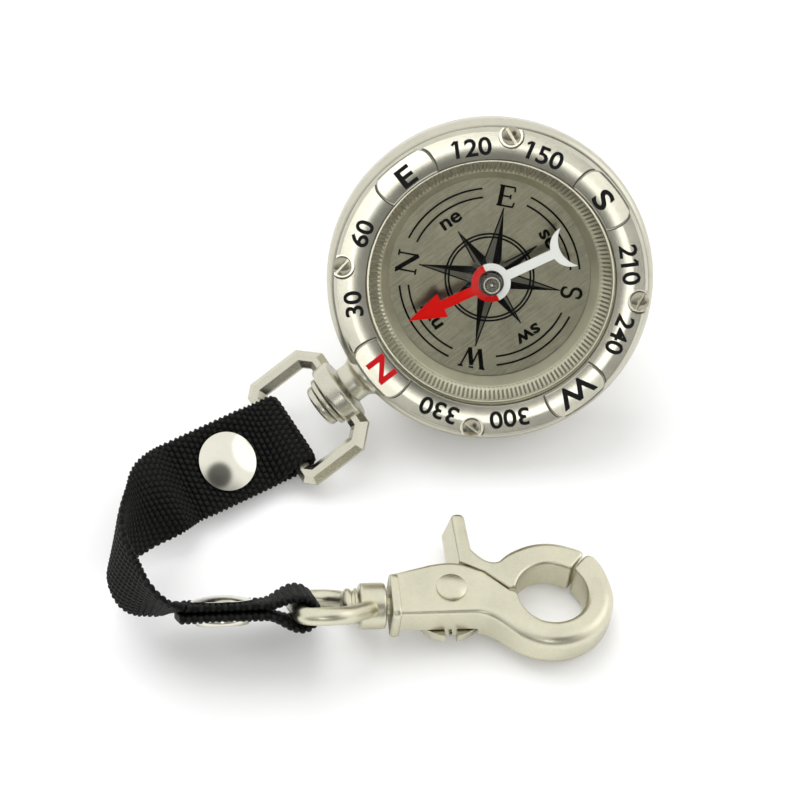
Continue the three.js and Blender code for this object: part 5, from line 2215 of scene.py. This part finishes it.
    def cast_apart(
        self, name: str, bm: Shape, place: Matrix, body: Body, node: str, sharp: float = SHARP
    ) -> None:
        """A cast piece that moves on the hook, with a metal of its own.

        Args:
            name: Its name.
            bm: Its shape.
            place: Its frame.
            body: Its body.
            node: The solid that it stands for.
            sharp: Angle in degrees past which an edge is sharp.
        """
        group = "eye" if body is Body.EYE else "trigger"
        metals = [self.shop.finish(CAST_NICKEL, place, group)]
        self.shop.piece(name, bm, place, metals, body, "plated_metal", [node], sharp)

    def arm_rounding(self, spot: Vector) -> float:
        """Width of the trigger's rounded edges, which is greatest along the top of the bow.

        Args:
            spot: A point on an edge.
        Returns:
            The width there.
        """
        out = spot.xy - Vector((self.bow_at, 0.0))
        angle = math.degrees(math.atan2(out.y, out.x))
        from_tip = angle - self.nose - self.trigger_gap
        along = clamp(from_tip / 16.0) * clamp((self.bow_end - angle) / 24.0)
        return 0.55 + (0.65 * along if out.length > self.bow_radius - 0.5 else 0.0)

    def build_trigger(self) -> None:
        """The sprung trigger with its thumb tab and round hub."""
        top = self.thickness / 2
        x, y = self.pivot
        tip = self.nose + self.trigger_gap
        left, tab_top = x + 2.1, y + self.tab_height
        right = left + self.tab_thickness
        bow = self.bow_arc(self.bow_radius, tip, self.bow_end, 24)
        start, foot = Vector(bow[-1]), Vector((right, self.tab_foot))
        sweep = [start, start.lerp(Vector((16.6, 5.6)), 0.66), Vector((16.0, 6.7)), foot]
        tab = [
            (*foot, 0),
            (right - 0.4, tab_top, 0.95),
            (left - 0.4, tab_top, 0.95),
            (left, 6.65, 0),
        ]
        arm = [
            *bow,
            *xy_of(geometry.interpolate_bezier(*sweep, 10))[1:],
            *filleted(tab, 5)[1:],
            (16.1, 4.45),
            (self.bow_at - self.hole_radius - 1.1, 1.2),
            *self.bow_arc(self.hole_radius, 167, tip, 28),
        ]
        ends = [self.on_bow(r, tip) for r in (self.bow_radius, self.hole_radius)]
        arm = softened(arm, [(*ends[0], 1.0), (*ends[1], 0.8)])
        shape = rounded(plate(arm, -top, top - self.trigger_drop), self.arm_rounding, 4)
        for vert in shape.verts:
            if vert.co.y > 6.0 and vert.co.x < left + self.tab_thickness * 0.6:
                deep = (top - self.trigger_drop - vert.co.z) / (2 * top - self.trigger_drop)
                vert.co.x -= self.tab_draft * deep * min(1.0, vert.co.y - 5.65)
        hub_top = -top + self.lap - self.run
        hub_edge = [(self.hub_radius, -top, 0.5), (self.hub_radius, hub_top, 0.2)]
        hub = lathe(filleted([(0, -top, 0), *hub_edge, (0, hub_top, 0)]), 64)
        notch = block(self.spring_notch, (0.0, -self.hub_radius + 0.65, -top))
        hub = turned(carved(hub, [notch]), Matrix.Translation((x, y, 0)))
        edge = [(x + 5.7, y - 0.9), (20.35, 0.45), (20.35, 2.6), (16.8, 5.6), (left + 1, 7.5)]
        web = plate([(x, y), *edge], -top, hub_top)
        whole = merged([shape, hub, web])
        self.cast_apart("trigger_lever", whole, self.place, Body.TRIGGER, "trigger", sharp=33)

    def build_pivot(self) -> None:
        """The domed rivet that the trigger turns on."""
        foot, tail = self.thickness / 2 + self.fit, -self.thickness / 2 - self.fit
        profile = [
            (0.0, tail - 0.7),
            (1.9, tail - 0.7),
            (2.2, tail - 0.45),
            (2.2, tail),
            (1.4, tail),
            (1.4, foot - 0.25),
            (2.45, foot - 0.25),
            (2.45, foot + 0.1),
            *dome(2.4, foot + 0.15, foot + 0.65, 10),
        ]
        shape = turned(lathe(profile, 48), Matrix.Translation((*self.pivot, 0)))
        self.cast("trigger_rivet", shape, "trigger_pivot")

    def build_eye(self) -> None:
        """The bent eye ring and the boss that turns on the hook's pin."""
        side, length, boss = self.eye_side, self.eye_length, -self.run - self.boss_length
        corner = -length + self.eye_corner
        upper = [
            (boss / 2, self.boss_radius / 2),
            (boss, self.boss_radius + self.eye_bar),
            ((boss + corner) / 2, side - self.eye_bar / 4),
            (corner, side),
            (-length + 0.72, side - 0.72),
            (-length, side - self.eye_corner),
        ]
        lower = [(x, -y) for x, y in reversed(upper)]
        knots = [Vector((x, y, 0)) for x, y in [*upper, (-length, 0.0), *lower]]
        line = spline(knots, [(len(knots) - 1) * i / 96 for i in range(97)])
        ring = rod(line, self.eye_bar, 20)
        barrel = [
            (self.boss_bore, boss, 0.2),
            (self.boss_radius, boss, 0.6),
            (self.boss_radius, -self.run, 0.6),
            (self.boss_bore, -self.run, 0.2),
        ]
        hub = turned(lathe(filleted(barrel, closed=True), 64, closed=True), Z_TO_X)
        core = [(0, boss - 3), (2.6, boss - 3), (2.6, 1.0), (0, 1.0)]
        ring = carved(ring, [turned(lathe(core, 40), Z_TO_X)])
        self.cast_apart("eye_bow", merged([ring, hub]), self.eye_place, Body.EYE, "eye_ring")

    def build_pin(self) -> None:
        """The riveted pin that the eye ring turns on."""
        foot = -2 * self.run - self.boss_length
        profile = [
            (0.0, foot - 2.4, 0),
            (2.2, foot - 2.4, 0.2),
            (2.95, foot - 1.7, 0.3),
            (2.95, foot - 1.1, 0.2),
            (2.6, foot - 0.9, 0.1),
            (2.6, foot - 0.5, 0.1),
            (2.95, foot - 0.3, 0.1),
            (2.95, foot, 0.1),
            (1.6, foot, 0),
            (1.6, self.run, 0),
            (0.0, self.run, 0),
        ]
        self.cast("swivel_rivet", turned(lathe(filleted(profile), 56), Z_TO_X), "eye_rivet")


def rod(line: Sequence[Vector], radius: float, sides: int) -> Shape:
    """A round rod along a line of points, closed at both ends.

    Args:
        line: The points.
        radius: The rod's radius.
        sides: Steps round it.
    Returns:
        The rod.
    """
    bm = bmesh.new()
    rings = []
    for i, spot in enumerate(line):
        way = (line[min(i + 1, len(line) - 1)] - line[max(i - 1, 0)]).normalized()
        turn = way.to_track_quat("Z", "Y").to_matrix().to_4x4()
        at = Matrix.Translation(spot) @ turn
        made = bmesh.ops.create_circle(bm, segments=sides, radius=radius, matrix=at)
        rings.append(list({e for v in made["verts"] for e in v.link_edges}))
    for a, b in zip(rings, rings[1:]):
        bmesh.ops.bridge_loops(bm, edges=[*a, *b])
    bmesh.ops.holes_fill(bm, edges=[e for e in bm.edges if e.is_boundary], sides=0)
    return outward(bm)


@dataclass(frozen=True)
class Lamp:
    """A large soft lamp that faces the object."""

    name: str
    place: Place  # from the middle of the object, in metres
    size: float  # width of its disc in metres
    power: float  # in watts
    mirrored: bool  # True if metal mirrors its disc


@dataclass
class Studio:
    """The pale floor, the soft lights and the camera."""

    target: Vector
    distance: float = 0.520
    elevation: float = 52.0
    lens: float = 135.72
    sensor: float = 36.0
    floor_size: float = 3.0
    floor_colour: Colour = (0.86, 0.86, 0.86)
    floor_grain: float = 90.0
    floor_dark: float = 0.99
    floor_glow: float = 0.14
    ambient: float = 0.43
    front_span: Point = (0.35, 0.75)
    front_shade: float = 0.80
    front_fade: float = 0.30
    fade_span: Point = (0.06, 0.66)
    dark_way: Place = (0.40, 0.55, 0.73)
    dark_span: Point = (0.94, 0.975)
    dark_shade: float = 0.85
    lamps: tuple[Lamp, ...] = (
        Lamp("key", (-0.30, 0.45, 0.95), 1.1, 7.6, False),
        Lamp("front", (0.30, -0.35, 1.05), 1.7, 6.8, False),
        Lamp("side", (0.95, 0.15, 0.60), 0.9, 0.9, True),
        Lamp("card", (0.06, -0.86, 0.50), 0.22, 0.32, True),
    )

    def build(self) -> None:
        """Sets the stage."""
        self.build_camera()
        self.build_floor()
        self.build_world()
        for lamp in self.lamps:
            self.build_lamp(lamp)

    def build_camera(self) -> None:
        """The camera at the viewing angle of the photograph."""
        angle = math.radians(self.elevation)
        back = Vector((0, -math.cos(angle), math.sin(angle)))
        camera = linked("camera", bpy.data.cameras.new("camera"))
        camera.data.lens = self.lens
        camera.data.sensor_width = self.sensor
        camera.data.clip_start = 0.01
        camera.location = self.target + back * self.distance
        camera.rotation_euler = (-back).to_track_quat("-Z", "Y").to_euler()
        bpy.context.scene.camera = camera

    def seen(self, net: Net) -> tuple[Val, Val]:
        """Tells the camera's own rays and those that mirror or pass the background on.

        Args:
            net: The net that asks.
        Returns:
            1 for the first, and 1 for the others.
        """
        path = net.node("LightPath")
        kinds = ("Camera", "Glossy", "Transmission")
        camera, glossy, passed = (net.out(path, f"Is {kind} Ray") for kind in kinds)
        return camera, glossy.math("MAXIMUM", passed)

    def build_floor(self) -> None:
        """A plain pale floor that keeps the shadows."""
        bm = bmesh.new()
        bmesh.ops.create_grid(bm, x_segments=1, y_segments=1, size=self.floor_size / 2)
        floor = linked("floor", mesh_from(bm, "floor"))
        material, net = new_material("pale_floor", self.floor_colour)
        grain = net.noise(net.coords("Object"), self.floor_grain, 2.0)
        darker = tuple(c * self.floor_dark for c in self.floor_colour)
        tone = net.mix(grain, darker, self.floor_colour)
        matt = net.value("BsdfDiffuse", {"Color": tone})
        strength = self.seen(net)[0] * self.floor_glow
        glow = net.value("Emission", {"Color": (1, 1, 1, 1), "Strength": strength})
        both = net.value("AddShader", {0: matt, 1: glow})
        net.node("OutputMaterial", None, {"Surface": both})
        floor.data.materials.append(material)

    def build_world(self) -> None:
        """Even light and a white background, which metal mirrors greyer in front."""
        world = bpy.data.worlds.new("studio")
        world.use_nodes = True
        bpy.context.scene.world = world
        net = Net(world.node_tree)
        side, depth, height = net.parts(net.coords("Generated"))
        front = self.step(net, depth * -1.0, self.front_span)
        shade = self.front_shade - self.step(net, height, self.fade_span) * self.front_fade
        right, near, up = self.dark_way
        dark = self.step(net, side * right - depth * near + height * up, self.dark_span)
        camera, mirror = self.seen(net)
        mirrored = (1.0 - front * shade) * (1 - dark * self.dark_shade)
        level = camera + (1 - camera) * (mirror * mirrored + (1 - mirror) * self.ambient)
        sky = net.value("Background", {"Color": (1, 1, 1, 1), "Strength": level})
        net.node("OutputWorld", None, {"Surface": sky})

    def step(self, net: Net, value: Val, span: Point) -> Val:
        """A smooth step from 0 to 1 as a value crosses a span."""
        inputs = {"Value": value, "From Min": span[0], "From Max": span[1]}
        return net.out(net.node("MapRange", {"interpolation_type": "SMOOTHSTEP"}, inputs))

    def build_lamp(self, lamp: Lamp) -> None:
        """One lamp, facing the middle of the object.

        Args:
            lamp: The lamp.
        """
        data = bpy.data.lights.new(lamp.name, "AREA")
        data.shape = "DISK"
        data.size = lamp.size
        data.energy = lamp.power
        made = linked(lamp.name, data)
        made.location = self.target + Vector(lamp.place)
        made.rotation_euler = (-Vector(lamp.place)).to_track_quat("-Z", "Y").to_euler()
        made.visible_glossy = lamp.mirrored


# The keychain


def joint(frame: dict[str, Any], name: str) -> tuple[Vector, Vector]:
    """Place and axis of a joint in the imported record."""
    found = next(j for j in frame["joints"] if j["name"] == name)
    return Vector(found["pos_m"]), Vector(found["axis"]).normalized()


def framed(at: Vector, x: Vector, z: Vector) -> Matrix:
    """A frame from its origin, its X axis and its Z axis."""
    return Matrix.Translation(at) @ Matrix((x, z.cross(x), z)).transposed().to_4x4()


COMPASS_AT = Vector((15.13, 1.49, 29.05))  # middle of the compass from the camera's aim
LOOP_LIFT = 32.0  # degrees between the strap's first end and the plane of the loop
STRAP_DROOP = -1.0  # degrees between the strap's other end and the hook's swivel axis


def main() -> None:
    """Loads the solids, builds each sub-assembly and sets the stage."""
    logging.basicConfig(level=logging.INFO, format="%(message)s")
    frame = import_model()
    bpy.context.scene.view_settings.view_transform = "Standard"
    centre, face = joint(frame, "needle_spin")
    neck = joint(frame, "loop_swivel")[1]
    bar_at, bar_way = joint(frame, "strap_on_loop")
    eye_at, eye_way = joint(frame, "eye_on_strap")
    hook_at, hook_way = joint(frame, "hook_swivel")
    hook_up = joint(frame, "trigger_pull")[1]
    shift = centre / MM - COMPASS_AT
    shop = Shop()
    Studio(shift * MM).build()

    compass = framed(centre, neck, face)
    Compass(compass, shop, frame["nodes"]).build()
    Needle(compass, shop, frame["nodes"]).build()
    loop_up = bar_way.cross(neck)
    loop = framed(centre - face * NECK_DROP * MM, neck, loop_up)
    StrapLoop(loop, shop, frame["nodes"]).build()

    lift = Matrix.Rotation(math.radians(LOOP_LIFT), 3, bar_way)
    sizes = dict(bar=1.25, twist=22.0, rivet=11.2, doubled=16.6, run=17.0, squeezed=13.8)
    loop_end = FoldedEnd(bar_at / MM, lift @ neck, lift @ loop_up, bar_way, **sizes)
    droop = Matrix.Rotation(math.radians(STRAP_DROOP), 3, eye_way)
    eye_up = hook_way.cross(eye_way)
    sizes = dict(bar=1.45, twist=-6.0, rivet=12.2, doubled=19.4, run=17.4, squeezed=14.6)
    eye_end = FoldedEnd(eye_at / MM, droop @ -hook_way, droop @ eye_up, -eye_way, **sizes)
    Strap(shop, loop_end, eye_end, shift).build()
    hook = framed(hook_at, hook_way, hook_up)
    SnapHook(hook, shop, frame["nodes"], framed(hook_at, hook_way, eye_up)).build()


if __name__ == "__main__":
    main()
